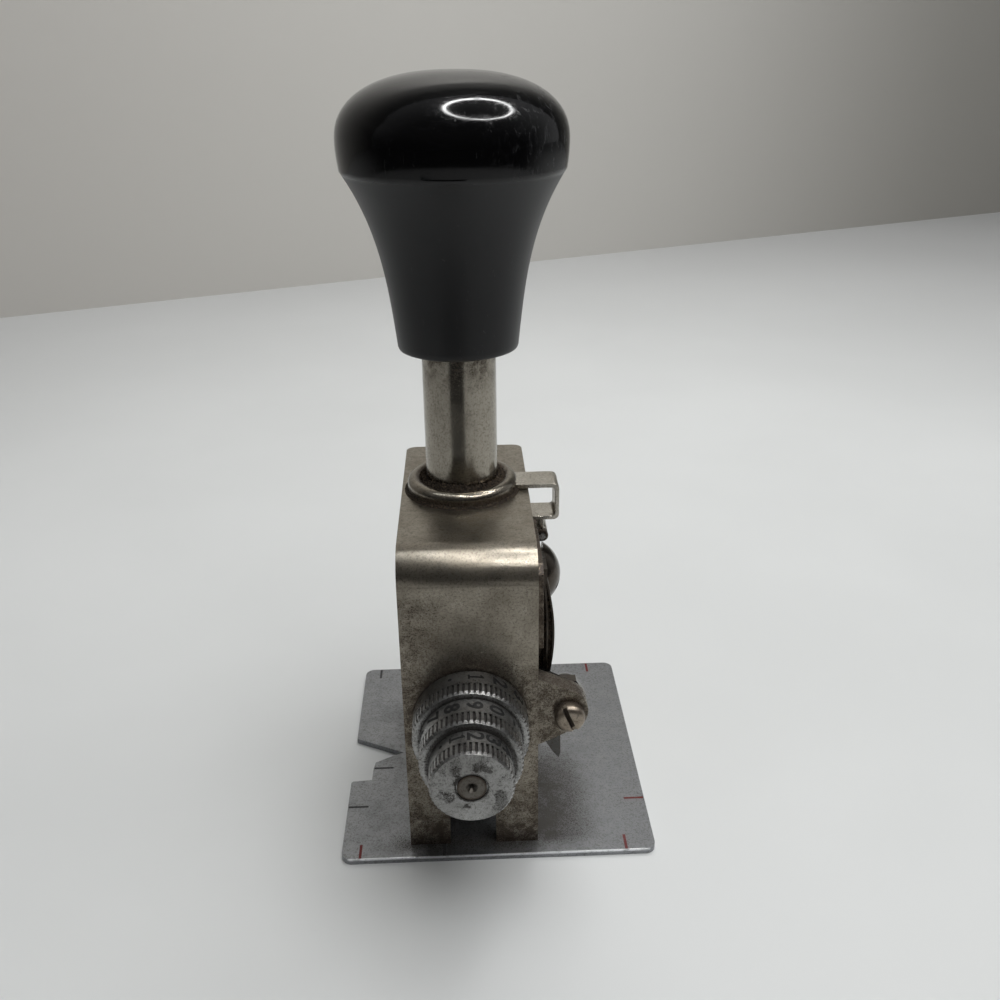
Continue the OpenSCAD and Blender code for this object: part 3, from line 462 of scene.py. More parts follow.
def fibre():
    """Brown pressed fibre of the stop washer."""
    s = Shader("fibre_washer")
    fleck = s.noise(2.5, 5, 0.7, s.stretched((1, 1, 3)))
    colour = s.mix(s.ramp(fleck, 0.4, 0.65), rgb(0.10, 0.055, 0.03), rgb(0.17, 0.11, 0.07))
    s.bump(fleck, 0.5, 0.1)
    return s.set(Base_Color=colour, Roughness=s.math("ADD", 0.6, s.math("MULTIPLY", fleck, 0.25)))


def packed_dirt():
    """Dull brown crumbs."""
    s = Shader("packed_grime")
    lump = s.noise(2.6, 5, 0.8)
    colour = s.mix(s.ramp(lump, 0.46, 0.64), rgb(0.012, 0.008, 0.005), rgb(0.12, 0.088, 0.058))
    s.bump(lump, 0.9, 0.3)
    return s.set(Base_Color=colour, Roughness=s.math("ADD", 0.6, s.math("MULTIPLY", lump, 0.35)),
                 Specular_IOR_Level=0.15)


NICKEL_BRIGHT = rgb(0.345, 0.315, 0.262)
NICKEL_DULL = rgb(0.185, 0.16, 0.125)

materials = {
    "nickel_housing": worn_metal("nickel_housing", NICKEL_BRIGHT, NICKEL_DULL, 0.30, 0.7, 0.6,
                                 (0.25, 1, 1), dirt_and_shade=housing_dirt_and_shade),
    "nickel_bushing": worn_metal("nickel_bushing", NICKEL_BRIGHT, NICKEL_DULL, 0.20, 0.5, 0.5,
                                 dirt_and_shade=round_the_post),
    "nickel_small": worn_metal("nickel_small", rgb(0.60, 0.57, 0.51), rgb(0.36, 0.33, 0.275), 0.26,
                               0.7, 0.6),
    "nickel_post": worn_metal("nickel_post", rgb(0.345, 0.32, 0.272), rgb(0.22, 0.198, 0.16), 0.17,
                              0.5, 0.25, (1, 1, 0.1), dirt_and_shade=foot_of_the_post),
    # The plate carries painted shade beside the housing and a painted highlight on its front edge.
    "plate_steel": worn_metal("plate_steel", rgb(0.31, 0.318, 0.33), rgb(0.20, 0.204, 0.21), 0.37,
                              0.7, 0.6, speck_colour=rgb(0.05, 0.045, 0.04),
                              dirt_and_shade=shade_beside_housing, scuff_and_highlight=edge_highlight),
    "dial_steel": worn_metal("dial_steel", rgb(0.40, 0.40, 0.392), rgb(0.19, 0.187, 0.178), 0.29,
                             0.7, 0.5, speck_colour=rgb(0.025, 0.021, 0.018), dirt_and_shade=dial_dirt_and_shade),
    "shaft_steel": worn_metal("shaft_steel", rgb(0.16, 0.15, 0.135), rgb(0.09, 0.082, 0.072), 0.36,
                              0.7, 0.6, dirt_and_shade=shaft_rim),
    "bright_steel": worn_metal("bright_steel", rgb(0.52, 0.52, 0.52), rgb(0.34, 0.33, 0.32), 0.26,
                               0.5, 0.25, (1, 0.15, 1)),
    "head_steel": worn_metal("head_steel", rgb(0.40, 0.40, 0.39), rgb(0.24, 0.235, 0.22), 0.36,
                             0.7, 0.4),
    "arm_steel": worn_metal("arm_steel", rgb(0.10, 0.098, 0.094), rgb(0.045, 0.043, 0.04), 0.24,
                            0.7, 0.5),
    "screw_steel": worn_metal("screw_steel", rgb(0.33, 0.32, 0.31), rgb(0.18, 0.17, 0.16), 0.38,
                              0.7, 0.5),
    "spring_steel": worn_metal("spring_steel", rgb(0.15, 0.14, 0.13), rgb(0.06, 0.053, 0.046), 0.33,
                               0.8, 0.6),
    "knob_plastic": knob_plastic(),
    "ink_felt": felt(),
    "band_rubber": rubber(),
    "fibre_washer": fibre(),
}
dark_nickel = worn_metal("dark_nickel", rgb(0.17, 0.148, 0.12), rgb(0.06, 0.048, 0.036), 0.20,
                         0.8, 0.75, dirt_and_shade=all_over)
black_nut = worn_metal("black_nut", rgb(0.11, 0.10, 0.09), rgb(0.04, 0.035, 0.03), 0.13, 0.6, 0.4)
dark_dome = worn_metal("dark_dome", rgb(0.12, 0.105, 0.088), rgb(0.040, 0.032, 0.025), 0.15,
                       0.7, 0.6)
dark_spring = worn_metal("dark_spring", rgb(0.075, 0.065, 0.055), rgb(0.022, 0.018, 0.014), 0.30,
                         0.8, 0.75)
screw_nickel = worn_metal("screw_nickel", rgb(0.33, 0.285, 0.235), rgb(0.15, 0.12, 0.085), 0.36,
                          0.8, 0.9, dirt_and_shade=screw_slot_shade)
figure_black = painted_line("figure_black", rgb(0.003, 0.003, 0.003), 0.08)
line_black = painted_line("line_black", rgb(0.02, 0.02, 0.022), 0.5)
line_red = painted_line("line_red", rgb(0.12, 0.011, 0.010), 0.3)
grime = packed_dirt()


# ---------------------------------------------------------------- CAD nodes

SHARP_DEGREES = 32


def dress(node_name, material):
    data = nodes[node_name].data
    data.materials.clear()
    data.materials.append(material)


def soften_edges(node_name, width_mm):
    """Break the sharp edges of a CAD node so that they catch the light."""
    weld = nodes[node_name].modifiers.new("weld", "WELD")
    weld.merge_threshold = 0.002 * MM
    bevel = nodes[node_name].modifiers.new("edge", "BEVEL")
    bevel.width = width_mm * MM
    bevel.segments = 2
    bevel.limit_method = "ANGLE"
    bevel.angle_limit = math.radians(SHARP_DEGREES)
    bevel.harden_normals = True


DARKER = {"side_bracket": dark_nickel, "domed_screw": dark_dome, "pivot_nut": black_nut,
          "leaf_spring": dark_spring}
for row in frame["record"]["subparts"]:
    dress(row["node"], DARKER.get(row["node"], materials[row["material_slot"]]))

EDGES_MM = {
    "base_plate": 0.45, "front_strap": 0.35, "left_side_plate": 0.15, "right_side_plate": 0.15,
    "rear_wall": 0.2, "finger_catch": 0.15, "side_bracket": 0.2, "pivot_screw": 0.25,
    "head_yoke": 0.2, "head_front_plate": 0.15, "head_rear_plate": 0.15, "inking_arm": 0.12,
}
for node_name, width in EDGES_MM.items():
    soften_edges(node_name, width)


# ---------------------------------------------------------------- mesh helpers

def to_object(name, bm, material=None):
    """An object in the scene with the bmesh's shape; the bmesh is freed."""
    data = bpy.data.meshes.new(name)
    bm.to_mesh(data)
    bm.free()
    thing = bpy.data.objects.new(name, data)
    scene.collection.objects.link(thing)
    if material:
        data.materials.append(material)
    return thing


def finish_piece(name, bm, body, material, smooth=True):
    """A piece of the visual model that rides on a body."""
    bmesh.ops.recalc_face_normals(bm, faces=bm.faces)
    piece = to_object(name, bm, material)
    for face in piece.data.polygons:
        face.use_smooth = smooth
    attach(piece, body)
    return piece


def add_to(joined, bm):
    """Move one bmesh's shape into another."""
    part = bpy.data.meshes.new("part")
    bm.to_mesh(part)
    bm.free()
    joined.from_mesh(part)
    bpy.data.meshes.remove(part)


def evaluated_mesh(thing):
    """A new mesh of the object as its modifiers or its curve make it."""
    bpy.context.view_layer.update()
    depsgraph = bpy.context.evaluated_depsgraph_get()
    return bpy.data.meshes.new_from_object(thing.evaluated_get(depsgraph))


def bridge(bm, first, second):
    """Quads between two closed rings of as many vertices."""
    count = len(first)
    for i in range(count):
        k = (i + 1) % count
        bm.faces.new((first[i], first[k], second[k], second[i]))


def centre_mm(low, high):
    return [(a + b) / 2 / MM for a, b in zip(low, high)]


TUBE_SIDES = 10


def tube(points, radius_mm):
    """A closed round tube through points in millimetres."""
    bm = bmesh.new()
    rings = []
    for i, point in enumerate(points):
        before = Vector(points[max(i - 1, 0)])
        after = Vector(points[min(i + 1, len(points) - 1)])
        along = (after - before).normalized()
        side = along.cross(Vector((0, 0, 1))).normalized()
        up = side.cross(along)
        ring = []
        for k in range(TUBE_SIDES):
            angle = 2 * math.pi * k / TUBE_SIDES
            offset = side * math.cos(angle) + up * math.sin(angle)
            ring.append(bm.verts.new((Vector(point) + offset * radius_mm) * MM))
        rings.append(ring)
    for low, high in zip(rings, rings[1:]):
        bridge(bm, low, high)
    bm.faces.new(rings[0])
    bm.faces.new(rings[-1])
    return bm


# ---------------------------------------------------------------- dial figures

PLACES = [".", "1", "2", "3", "4", "5", "6", "7", "8", "9", "0", "-", "", ""]
FIGURE_H_MM = 3.5
FIGURE_WIDEN = 1.12
FIGURE_BOLD = 0.028
FIGURE_PROUD_MM = 0.025
FIGURE_DEPTH_MM = 0.12
FIGURE_STRIPS = 9
CAPITAL_HEIGHT = 0.72
CAPITAL_MIDDLE = 0.35
ONE_OUTLINE = [(-0.15, 0.0), (0.15, 0.0), (0.15, 0.085), (0.05, 0.085), (0.05, 0.72),
               (-0.03, 0.72), (-0.16, 0.60), (-0.12, 0.53), (-0.05, 0.59), (-0.05, 0.085),
               (-0.15, 0.085)]
STEP = 2 * math.pi / len(PLACES)


def font_outline(text):
    """A bmesh of one character in the built-in font, about CAPITAL_HEIGHT tall."""
    curve = bpy.data.curves.new("figure", "FONT")
    curve.body = text
    curve.size = 1.0
    curve.resolution_u = 6
    curve.offset = FIGURE_BOLD
    holder = bpy.data.objects.new("figure", curve)
    scene.collection.objects.link(holder)
    data = evaluated_mesh(holder)
    bpy.data.objects.remove(holder)
    bpy.data.curves.remove(curve)
    bm = bmesh.new()
    bm.from_mesh(data)
    bpy.data.meshes.remove(data)
    bmesh.ops.remove_doubles(bm, verts=bm.verts, dist=1e-5)
    return bm


def figure_mesh(text):
    """Outline of one figure, centred, FIGURE_H_MM tall, cut in strips across its height."""
    if text == "1":
        bm = bmesh.new()
        bm.faces.new([bm.verts.new((x, y, 0)) for x, y in ONE_OUTLINE])
    else:
        bm = font_outline(text)
    xs = [v.co.x for v in bm.verts]
    ys = [v.co.y for v in bm.verts]
    tall = FIGURE_H_MM / CAPITAL_HEIGHT
    wide = tall * FIGURE_WIDEN
    middle = CAPITAL_MIDDLE if text not in ".-" else (min(ys) + max(ys)) / 2
    for v in bm.verts:
        v.co.x = (v.co.x - (min(xs) + max(xs)) / 2) * wide
        v.co.y = (v.co.y - middle) * tall
    for i in range(1, FIGURE_STRIPS):
        level = FIGURE_H_MM * (i / FIGURE_STRIPS - 0.5)
        bmesh.ops.bisect_plane(
            bm, geom=bm.verts[:] + bm.edges[:] + bm.faces[:],
            plane_co=(0, level, 0), plane_no=(0, 1, 0),
        )
    return bm


def rim_figures(name, body, middle_y_mm, radius_mm, first_angle, first_place):
    """Figures round a dial's rim, with their tops turned clockwise seen from the front."""
    joined = bmesh.new()
    for k, text in enumerate(PLACES):
        if not text:
            continue
        turn = first_angle + (k - first_place) * STEP
        bm = figure_mesh(text)
        for v in bm.verts:
            angle = turn + v.co.y / radius_mm
            y = middle_y_mm - v.co.x
            r = radius_mm + FIGURE_PROUD_MM
            v.co = Vector((
                DIAL_AXIS_MM[0] + r * math.sin(angle), y, DIAL_AXIS_MM[1] + r * math.cos(angle)
            )) * MM
        add_to(joined, bm)
    piece = finish_piece(name, joined, body, figure_black, smooth=False)
    plate = piece.modifiers.new("depth", "SOLIDIFY")
    plate.thickness = FIGURE_DEPTH_MM * MM
    plate.offset = -1


FIRST_FIGURES = {
    "large_dial": ("1", 6.5),
    "middle_dial": ("9", 5.8),
    "small_dial": ("2", 7.0),
}
for node_name, (figure, turn_deg) in FIRST_FIGURES.items():
    radius, face, back = dial_size(node_name)
    rim_figures(node_name + "_figures", node_name + "_set", (face + KNURL_W_MM + back) / 2,
                radius, math.radians(turn_deg), PLACES.index(figure))


# ---------------------------------------------------------------- plate lines

LINE_W_MM = 0.64
LINE_PROUD_MM = 0.015
LINE_DEPTH_MM = 0.1
BLACK_LINES_MM = [
    ((-30.4, -22.7), (-25.5, -22.7)),
    ((-25.1, -7.9), (-20.1, -7.9)),
    ((-26.1, 34.0), (-26.1, 38.4)),
    ((-6.5, -36.6), (-6.5, -40.6)),
]
RED_LINES_MM = [
    ((-26.2, -36.1), (-26.2, -40.6)),
    ((36.2, -35.8), (36.2, -40.6)),
    ((38.1, -22.9), (43.0, -22.9)),
    ((35.6, 34.1), (35.6, 38.4)),
]


def plate_lines(name, lines, material):
    """Filled engraved lines, a hair above the plate's top face."""
    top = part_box("base_plate")[1].z / MM
    bm = bmesh.new()
    for start, end in lines:
        a, b = Vector(start), Vector(end)
        along = (b - a).normalized()
        across = Vector((-along.y, along.x)) * (LINE_W_MM / 2)
        corners = [a + across, a - across, b - across, b + across]
        low, high = ([bm.verts.new(Vector((c.x, c.y, z)) * MM) for c in corners]
                     for z in (top - LINE_DEPTH_MM, top + LINE_PROUD_MM))
        bm.faces.new(low)
        bm.faces.new(high)
        bridge(bm, low, high)
    finish_piece(name, bm, "frame", material, smooth=False)


plate_lines("black_lines", BLACK_LINES_MM, line_black)
plate_lines("red_lines", RED_LINES_MM, line_red)


# ---------------------------------------------------------------- grime round the post

def grime_ring(name, inner, outer, base, height):
    """Lumpy ring of dirt lying on the level base, from radius inner to outer."""
    bm = bmesh.new()
    around, across = 150, 8
    rows = []
    for i in range(around):
        angle = 2 * math.pi * i / around
        ahead = Vector((math.cos(angle), math.sin(angle), 0))
        lump = height * (0.70 + 0.12 * math.sin(3 * angle + 0.7) + 0.25 * rng.random())
        row = []
        for k in range(across + 1):
            t = k / across
            top = base + lump * math.cos(math.pi / 2 * t) + 0.2 * height * (rng.random() - 0.3)
            top = base if k == across else max(top, base + 0.02)
            radius = inner + (outer - inner) * t
            row.append(bm.verts.new((ahead * radius + Vector((0, 0, top))) * MM))
        row.append(bm.verts.new((ahead * inner + Vector((0, 0, base - 0.1))) * MM))
        rows.append(row)
    for i in range(around):
        a, b = rows[i], rows[(i + 1) % around]
        count = len(a)
        for k in range(count):
            bm.faces.new((a[k], b[k], b[(k + 1) % count], a[(k + 1) % count]))
    finish_piece(name, bm, "frame", grime, smooth=False)


HOUSING_TOP_MM = 77.5
RECESS_FLOOR_MM = HOUSING_TOP_MM + 1.38
grime_ring("packed_grime", 8.56, 11.2, RECESS_FLOOR_MM, 3.0)
grime_ring("lip_grime", 12.1, 13.8, HOUSING_TOP_MM - 0.02, 1.1)


# ---------------------------------------------------------------- return springs


def return_springs():
    """Round-wire springs in place of the coarse ones."""
    low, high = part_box("return_springs")
    wire, radius, turns, per_turn = 0.45, 2.6, 12, 20
    y = centre_mm(low, high)[1]
    bottom, top = low.z / MM + wire, high.z / MM - wire
    joined = bmesh.new()
    for x in (low.x / MM + radius + wire, high.x / MM - radius - wire):
        points = []
        for i in range(turns * per_turn + 1):
            t = i / (turns * per_turn)
            angle = 2 * math.pi * turns * t
            points.append((x + radius * math.cos(angle), y + radius * math.sin(angle),
                           bottom + (top - bottom) * t))
        add_to(joined, tube(points, wire))
    piece = finish_piece("coil_springs", joined, "frame", materials["spring_steel"])
    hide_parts("return_springs")
    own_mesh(piece)


return_springs()


# ---------------------------------------------------------------- knob

KNOB_WIDEST_DOWN_MM = 13.8
KNOB_NECK_R_MM = 13.6
KNOB_BORE_R_MM = 8.46
CAP_ROUNDNESS = 2.35


def smooth_knob():
    """The knob turned from the same profile, fine enough for a clean reflection."""
    low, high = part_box("press_knob")
    bottom, top = low.z / MM, high.z / MM
    wide = (high.x - low.x) / 2 / MM
    crease_z = top - KNOB_CREASE_DOWN_MM
    widest_z = top - KNOB_WIDEST_DOWN_MM
    crease_r = wide - 0.8
    neck_r = KNOB_NECK_R_MM
    profile = [(KNOB_BORE_R_MM, bottom + 0.02), (neck_r - 0.7, bottom),
               (neck_r - 0.2, bottom + 0.2)]
    for i in range(41):
        t = i / 40
        profile.append((neck_r + 4 * t + (crease_r - neck_r - 4) * t ** 3.2,
                        bottom + 0.7 + (crease_z - bottom - 0.7) * t))
    for i in range(1, 13):
        t = i / 12
        profile.append((crease_r + 0.25 + (wide - crease_r - 0.25) * math.sin(math.pi / 2 * t),
                        crease_z + (widest_z - crease_z) * t))
    power = 2 / CAP_ROUNDNESS
    for i in range(1, 60):
        t = math.pi / 2 * i / 60
        profile.append((wide * math.cos(t) ** power,
                        widest_z + (top - widest_z) * math.sin(t) ** power))
    bm = bmesh.new()
    around = 192
    turns = [2 * math.pi * i / around for i in range(around)]
    rows = []
    for radius, z in profile:
        rows.append([bm.verts.new(Vector((radius * math.cos(a), radius * math.sin(a), z)) * MM)
                     for a in turns])
    for a, b in zip(rows, rows[1:]):
        bridge(bm, a, b)
    summit = bm.verts.new(Vector((0, 0, top)) * MM)
    foot = bm.verts.new(Vector((0, 0, bottom + 0.02)) * MM)
    for i in range(around):
        bm.faces.new((rows[-1][i], rows[-1][(i + 1) % around], summit))
        bm.faces.new((rows[0][(i + 1) % around], rows[0][i], foot))
    piece = finish_piece("turned_knob", bm, "plunger", materials["knob_plastic"])
    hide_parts("press_knob")


smooth_knob()


# ---------------------------------------------------------------- felt roller

FELT_BORE_R_MM = 2.66
FELT_END_ROUND_MM = 0.5


def felt_roller():
    """Slightly uneven felt sleeve with soft ends in place of the plain cylinder."""
    low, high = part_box("roller_felt")
    centre = (low + high) / 2
    outer = (high.x - low.x) / 2 / MM
    around, along = 72, 46
    turns = [2 * math.pi * i / around for i in range(around)]
    length = (high.y - low.y) / MM
    bm = bmesh.new()
    rows = []
    for j in range(along + 1):
        t = j / along
        from_end = min(1.0, min(t, 1 - t) * length / FELT_END_ROUND_MM)
        edge = FELT_END_ROUND_MM * (1 - math.sqrt(max(0.0, 1 - (1 - from_end) ** 2)))
        row = []
        for angle in turns:
            nap = 0.10 * rng.random()
            radius = outer - edge - nap - 0.05 * (1 + math.sin(5 * angle + 9 * t)) / 2
            row.append(bm.verts.new((
                centre.x + radius * math.cos(angle) * MM,
                low.y + length * t * MM,
                centre.z + radius * math.sin(angle) * MM,
            )))
        rows.append(row)
    bore = []
    for y in (low.y, high.y):
        bore.append([bm.verts.new((
            centre.x + FELT_BORE_R_MM * math.cos(angle) * MM, y,
            centre.z + FELT_BORE_R_MM * math.sin(angle) * MM,
        )) for angle in turns])
    loop = [bore[0]] + rows + [bore[1]]
    for a, b in zip(loop, loop[1:] + loop[:1]):
        bridge(bm, a, b)
    piece = finish_piece("felt_sleeve", bm, "ink_roller", materials["ink_felt"])
    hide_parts("roller_felt")


felt_roller()


# ---------------------------------------------------------------- pivot screw

SCREW_SHANK_R_MM = 2.0
SCREW_HEAD_H_MM = 3.0
SCREW_ROUND_H_MM = 1.3
SCREW_ROUND_R_MM = 1.6
SCREW_FLAT_R_MM = 0.9
SLOT_W_MM = 1.05
SLOT_DEPTH_MM = 1.6
SLOT_LENGTH_MM = 10
SLOT_TURN = math.radians(67)


def slotted_screw():
    """The pivot screw with a rounded head and an open slot."""
    low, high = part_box("pivot_screw")
    x, _, z = centre_mm(low, high)
    front, back = low.y / MM, high.y / MM
    head_r, under_head = (high.x - low.x) / 2 / MM, front + SCREW_HEAD_H_MM
    profile = [(SCREW_SHANK_R_MM, back), (SCREW_SHANK_R_MM, under_head), (head_r, under_head)]
    for i in range(9):
        t = math.pi / 2 * i / 8
        profile.append((head_r - SCREW_ROUND_R_MM * (1 - math.cos(t)) - 0.01 * i,
                        front + SCREW_ROUND_H_MM * (1 - math.sin(t))))
    profile.append((SCREW_FLAT_R_MM, front))
    bm = bmesh.new()
    around = 64
    turns = [2 * math.pi * i / around for i in range(around)]
    rows = [[bm.verts.new(Vector((x + r * math.cos(a), y, z + r * math.sin(a))) * MM)
             for a in turns] for r, y in profile]
    for a, b in zip(rows, rows[1:]):
        bridge(bm, a, b)
    bm.faces.new(rows[0])
    bm.faces.new(rows[-1])
    piece = finish_piece("slotted_screw", bm, "frame", screw_nickel)

    cut = bmesh.new()
    bmesh.ops.create_cube(cut, size=1.0)
    slot = Matrix.Translation(Vector((x, front, z)) * MM) @ Matrix.Rotation(SLOT_TURN, 4, "Y")
    slot = slot @ Matrix.Diagonal(
        (SLOT_LENGTH_MM * MM, 2 * SLOT_DEPTH_MM * MM, SLOT_W_MM * MM, 1))
    bmesh.ops.transform(cut, matrix=slot, verts=cut.verts)
    tool = to_object("slot", cut)
    carve = piece.modifiers.new("slot", "BOOLEAN")
    carve.object = tool
    carve.solver = "EXACT"
    carved = evaluated_mesh(piece)
    piece.modifiers.remove(carve)
    piece.data = carved
    bpy.data.objects.remove(tool)
    edge = piece.modifiers.new("edge", "BEVEL")
    edge.width = 0.12 * MM
    edge.segments = 2
    edge.limit_method = "ANGLE"
    edge.angle_limit = math.radians(35)
    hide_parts("pivot_screw")


slotted_screw()


# ---------------------------------------------------------------- grease in the leaf spring

LEAF_BOW_MM = 1.7


def leaf_grease():
    """Dark grease caked between the blades of the leaf spring."""
    low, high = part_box("leaf_spring")
    inside = low.x / MM
    top, bottom = high.z / MM - 2.4, low.z / MM
    front, back = low.y / MM + 0.5, low.y / MM + 5.0
    start, end, steps = bottom + 0.4, top - 0.1, 40
    bm = bmesh.new()
    rows = []
    for i in range(steps + 1):
        z = start + (end - start) * i / steps
        bow = LEAF_BOW_MM * math.sin(math.pi * (top - z) / (top - bottom + 3.5))
        out = inside + 0.42 + bow * (0.94 + 0.05 * rng.random())
        lip = 0.35 * rng.random()
        rows.append([bm.verts.new(Vector(c) * MM) for c in (
            (inside + 0.02, front + lip, z), (out, front + lip + 0.1, z),
            (out, back, z), (inside + 0.02, back, z))])
    for a, b in zip(rows, rows[1:]):
        bridge(bm, a, b)
    bm.faces.new(rows[0])
    bm.faces.new(rows[-1])
    finish_piece("leaf_grease", bm, "frame", grime, smooth=False)


leaf_grease()


# ---------------------------------------------------------------- room and light

def stage_sheet(name, corners_m, material):
    """A flat sheet that belongs to the room, not to the part."""
    bm = bmesh.new()
    bm.faces.new([bm.verts.new(c) for c in corners_m])
    sheet = to_object(name, bm, material)
    return sheet


def table_top():
    """White laminate with faint flecks and hairs, and a painted pool of light: darker far from the
    middle.
    """
    s = Shader("table")
    cloud = s.noise(0.004, 4)
    colour = s.mix(s.ramp(cloud, 0.35, 0.65), rgb(0.69, 0.705, 0.70), rgb(0.73, 0.745, 0.74))
    hair = s.ramp(s.noise(0.02, 3, 0.6, s.stretched((1, 0.06, 1)), 2.5), 0.497, 0.503)
    fleck = s.ramp(s.noise(0.35, 5, 0.7), 0.74, 0.78)
    colour = s.mix(s.math("MULTIPLY", fleck, 0.35), colour, rgb(0.40, 0.40, 0.40))
    # Painted pool of light: the table darkens away from its brightest spot.
    away = s.distance(TABLE_BRIGHT_MM)
    colour = s.mix(s.ramp(away, 90, 700, 0.0, 0.62), colour, rgb(0.42, 0.42, 0.42))
    gloss = s.math("ADD", 0.42, s.math("MULTIPLY", cloud, 0.15))
    s.bump(hair, 0.02, 0.05)
    return s.set(Base_Color=colour, Roughness=gloss, Specular_IOR_Level=0.3)


def wall_paint():
    """Warm grey paint with painted light: brightest in the middle and darkest on the right."""
    s = Shader("wall")
    cloud = s.noise(0.003, 3)
    colour = s.mix(s.ramp(cloud, 0.35, 0.65), rgb(0.46, 0.445, 0.41), rgb(0.49, 0.475, 0.44))
    # Painted light: shaded towards the right, lighter on the left and brightest round the middle.
    shaded = s.mix(0.5, colour, rgb(0.30, 0.29, 0.263))
    colour = s.mix(s.ramp(s.axis("X"), -450, 650), rgb(0.60, 0.58, 0.545), shaded)
    off_middle = s.math("ABSOLUTE", s.math("SUBTRACT", s.axis("X"), WALL_BRIGHT_X_MM))
    colour = s.mix(s.ramp(off_middle, 40, 440, 0.6, 0.0), colour, rgb(0.75, 0.735, 0.695))
    return s.set(Base_Color=colour, Roughness=0.9)


TABLE_BRIGHT_MM = (60, 100, 0)
WALL_BRIGHT_X_MM = 60.0
TABLE_HALF_M = 2.5
WALL_HEIGHT = Vector((0, 0, 2))
WALL_SEEN_LEFT = Vector((-0.3205, 0.4991, 0))
WALL_SEEN_RIGHT = Vector((0.5667, 0.8696, 0))
WALL_BEYOND = (WALL_SEEN_RIGHT - WALL_SEEN_LEFT).normalized() * 2.2
WALL_LEFT = WALL_SEEN_LEFT - WALL_BEYOND
WALL_RIGHT = WALL_SEEN_RIGHT + WALL_BEYOND

stage_sheet(
    "table_sheet",
    [(x * TABLE_HALF_M, y * TABLE_HALF_M, 0) for x, y in ((-1, -1), (1, -1), (1, 1), (-1, 1))],
    table_top(),
)
stage_sheet(
    "wall_sheet",
    [WALL_LEFT, WALL_RIGHT, WALL_RIGHT + WALL_HEIGHT, WALL_LEFT + WALL_HEIGHT],
    wall_paint(),
)


def area_light(name, place, aim, size, energy):
    """A round lamp that lights the part but isn't reflected in it."""
    data = bpy.data.lights.new(name, "AREA")
    data.shape = "DISK"
    data.size = size
    data.energy = energy
    lamp = bpy.data.objects.new(name, data)
    scene.collection.objects.link(lamp)
    lamp.location = place
    lamp.rotation_euler = (Vector(aim) - Vector(place)).to_track_quat("-Z", "Y").to_euler()
    lamp.visible_glossy = False


def glow(name, strength):
    """A plain white glow."""
    material = bpy.data.materials.new(name)
    material.use_nodes = True
    tree = material.node_tree
    tree.nodes.clear()
    out = tree.nodes.new("ShaderNodeOutputMaterial")
    lamp = tree.nodes.new("ShaderNodeEmission")
    lamp.inputs["Color"].default_value = rgb(1, 1, 1)
    lamp.inputs["Strength"].default_value = strength
    tree.links.new(lamp.outputs[0], out.inputs["Surface"])
    return material


def reflected_only(thing):
    """Seen in shiny surfaces, and nowhere else."""
    thing.visible_camera = False
    thing.visible_diffuse = False
    thing.visible_shadow = False
    thing.visible_transmission = False


LAMP_RING_R = 0.37
LAMP_RING_TUBE = 0.017
RING_GLOW = 38.0
LAMP_CENTRE = Vector((0.305, -0.14, 0.96))


def ring_lamp():
    """The round lamp overhead, as shiny surfaces show it."""
    bm = bmesh.new()
    around, sides = 96, 8
    rows = []
    for i in range(around):
        angle = 2 * math.pi * i / around
        out = Vector((math.cos(angle), math.sin(angle), 0))
        row = []
        for k in range(sides):
            tilt = 2 * math.pi * k / sides
            away = out * (LAMP_RING_R + LAMP_RING_TUBE * math.cos(tilt))
            up = Vector((0, 0, LAMP_RING_TUBE * math.sin(tilt)))
            row.append(bm.verts.new(LAMP_CENTRE + away + up))
        rows.append(row)
    for i in range(around):
        bridge(bm, rows[i], rows[(i + 1) % around])
    ring = to_object("ring_lamp", bm, glow("ring_glow", RING_GLOW))
    reflected_only(ring)


ring_lamp()


def shade_card():
    """Dim glowing strip on the table in front, a painted shade of the table seen in shiny surfaces
    only.
    """
    left, right, y, height = -0.12, 0.045, -0.20, 0.07
    corners = [(left, y, 0), (right, y, 0), (right, y, height), (left, y, height)]
    # A faint glow stands in for the shaded table.
    reflected_only(stage_sheet("shade_card", corners, glow("shade_card", 0.045)))


shade_card()


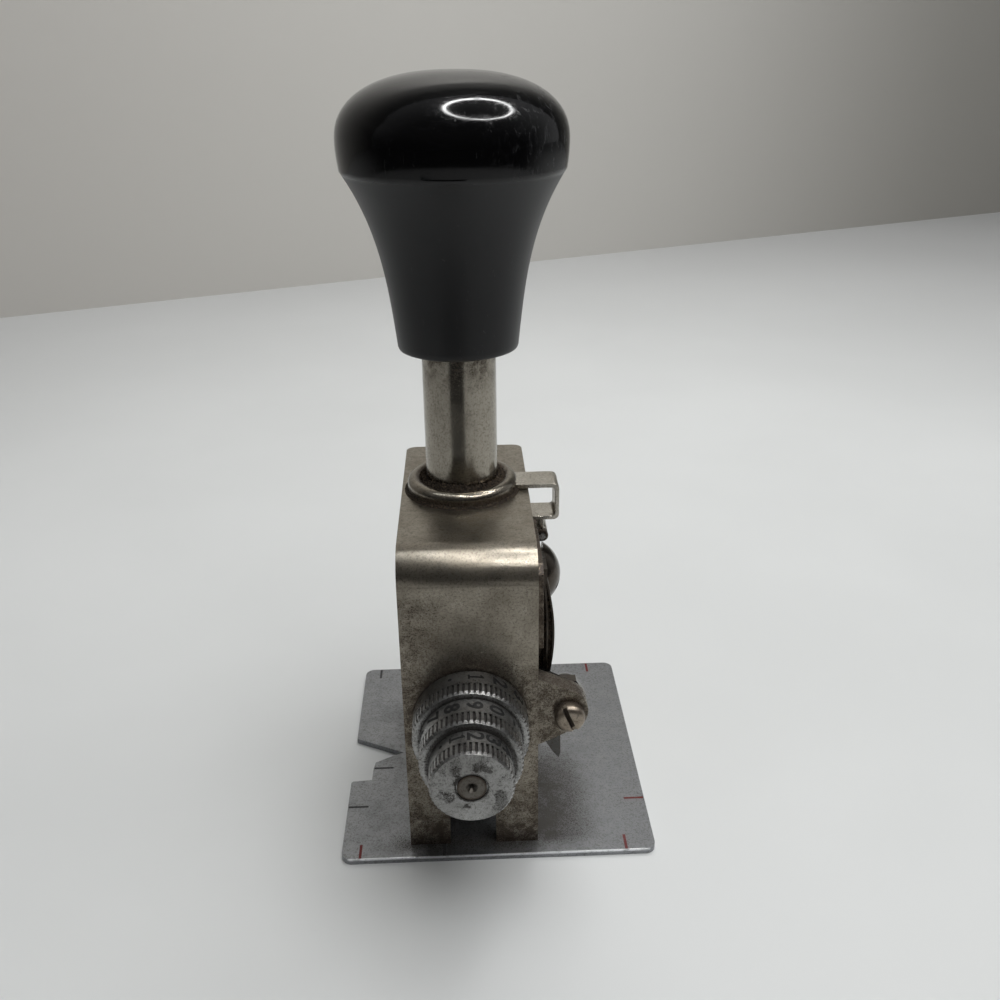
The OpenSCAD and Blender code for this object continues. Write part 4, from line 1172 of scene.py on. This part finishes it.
def dark_room():
    """The dark side of the room round the front, soft at its ends and its top."""
    s = Shader("dark_room")
    s.tree.nodes.remove(s.surface)
    dark = s.tree.nodes.new("ShaderNodeEmission")
    dark.inputs["Strength"].default_value = 0.03
    clear = s.tree.nodes.new("ShaderNodeBsdfTransparent")
    blend = s.tree.nodes.new("ShaderNodeMixShader")
    away = s.math("MAXIMUM", s.ramp(s.axis("Z"), 120, 420), s.ramp(s.axis("Y"), -220, 160))
    s.link(away, blend.inputs[0])
    s.link(dark.outputs[0], blend.inputs[1])
    s.link(clear.outputs[0], blend.inputs[2])
    s.link(blend.outputs[0], s.out.inputs["Surface"])
    bm = bmesh.new()
    radius, height, steps = 0.5, 0.45, 48
    rows = []
    for i in range(steps + 1):
        angle = math.radians(160 + 220 * i / steps)
        x, y = radius * math.cos(angle), radius * math.sin(angle)
        rows.append([bm.verts.new((x, y, z)) for z in (0.0, height)])
    for a, b in zip(rows, rows[1:]):
        bm.faces.new((a[0], b[0], b[1], a[1]))
    wall = to_object("dark_room", bm, s.material)
    reflected_only(wall)


dark_room()

area_light("key", (0.14, 0.42, 0.86), (0.02, 0.05, 0.0), 0.45, 3.0)
area_light("fill", LAMP_CENTRE, (0, 0, 0), 0.95, 6.0)


SHEEN_PLACE = Vector((-0.26, -0.05, 0.96))
SHEEN_SIZE = (0.75, 0.24)
SHEEN_GLOW = 2.6
SHEEN_COLOUR = (0.90, 0.96, 1.0)
NO_SHEEN = ("press_knob", "base_plate")


def metal_sheen():
    """The lamp's wide glow on the metal alone; the black knob shows only its ring."""
    data = bpy.data.lights.new("sheen", "AREA")
    data.shape = "RECTANGLE"
    data.size, data.size_y = SHEEN_SIZE
    data.energy = SHEEN_GLOW * math.pi * data.size * data.size_y
    data.color = SHEEN_COLOUR
    lamp = bpy.data.objects.new("sheen", data)
    scene.collection.objects.link(lamp)
    lamp.location = SHEEN_PLACE
    lamp.visible_camera = False
    lamp.visible_diffuse = False
    lamp.visible_transmission = False
    lit = bpy.data.collections.new("lit_by_sheen")
    for name, node in nodes.items():
        if name not in NO_SHEEN:
            lit.objects.link(node)
    lamp.light_linking.receiver_collection = lit


metal_sheen()


def room():
    """Grey room, darker in front of the object."""
    world = bpy.data.worlds.new("room")
    scene.world = world
    world.use_nodes = True
    tree = world.node_tree
    sky = tree.nodes["Background"]
    sky.inputs["Color"].default_value = rgb(0.98, 0.99, 1.0)
    place = tree.nodes.new("ShaderNodeTexCoord")
    split = tree.nodes.new("ShaderNodeSeparateXYZ")
    tree.links.new(place.outputs["Generated"], split.inputs[0])
    behind = tree.nodes.new("ShaderNodeMapRange")
    behind.interpolation_type = "SMOOTHSTEP"
    tree.links.new(split.outputs["Y"], behind.inputs["Value"])
    behind.inputs["From Min"].default_value = -0.75
    behind.inputs["From Max"].default_value = 0.45
    behind.inputs["To Min"].default_value = 0.07
    behind.inputs["To Max"].default_value = 0.34
    tree.links.new(behind.outputs[0], sky.inputs["Strength"])


room()
scene.view_settings.view_transform = "Standard"
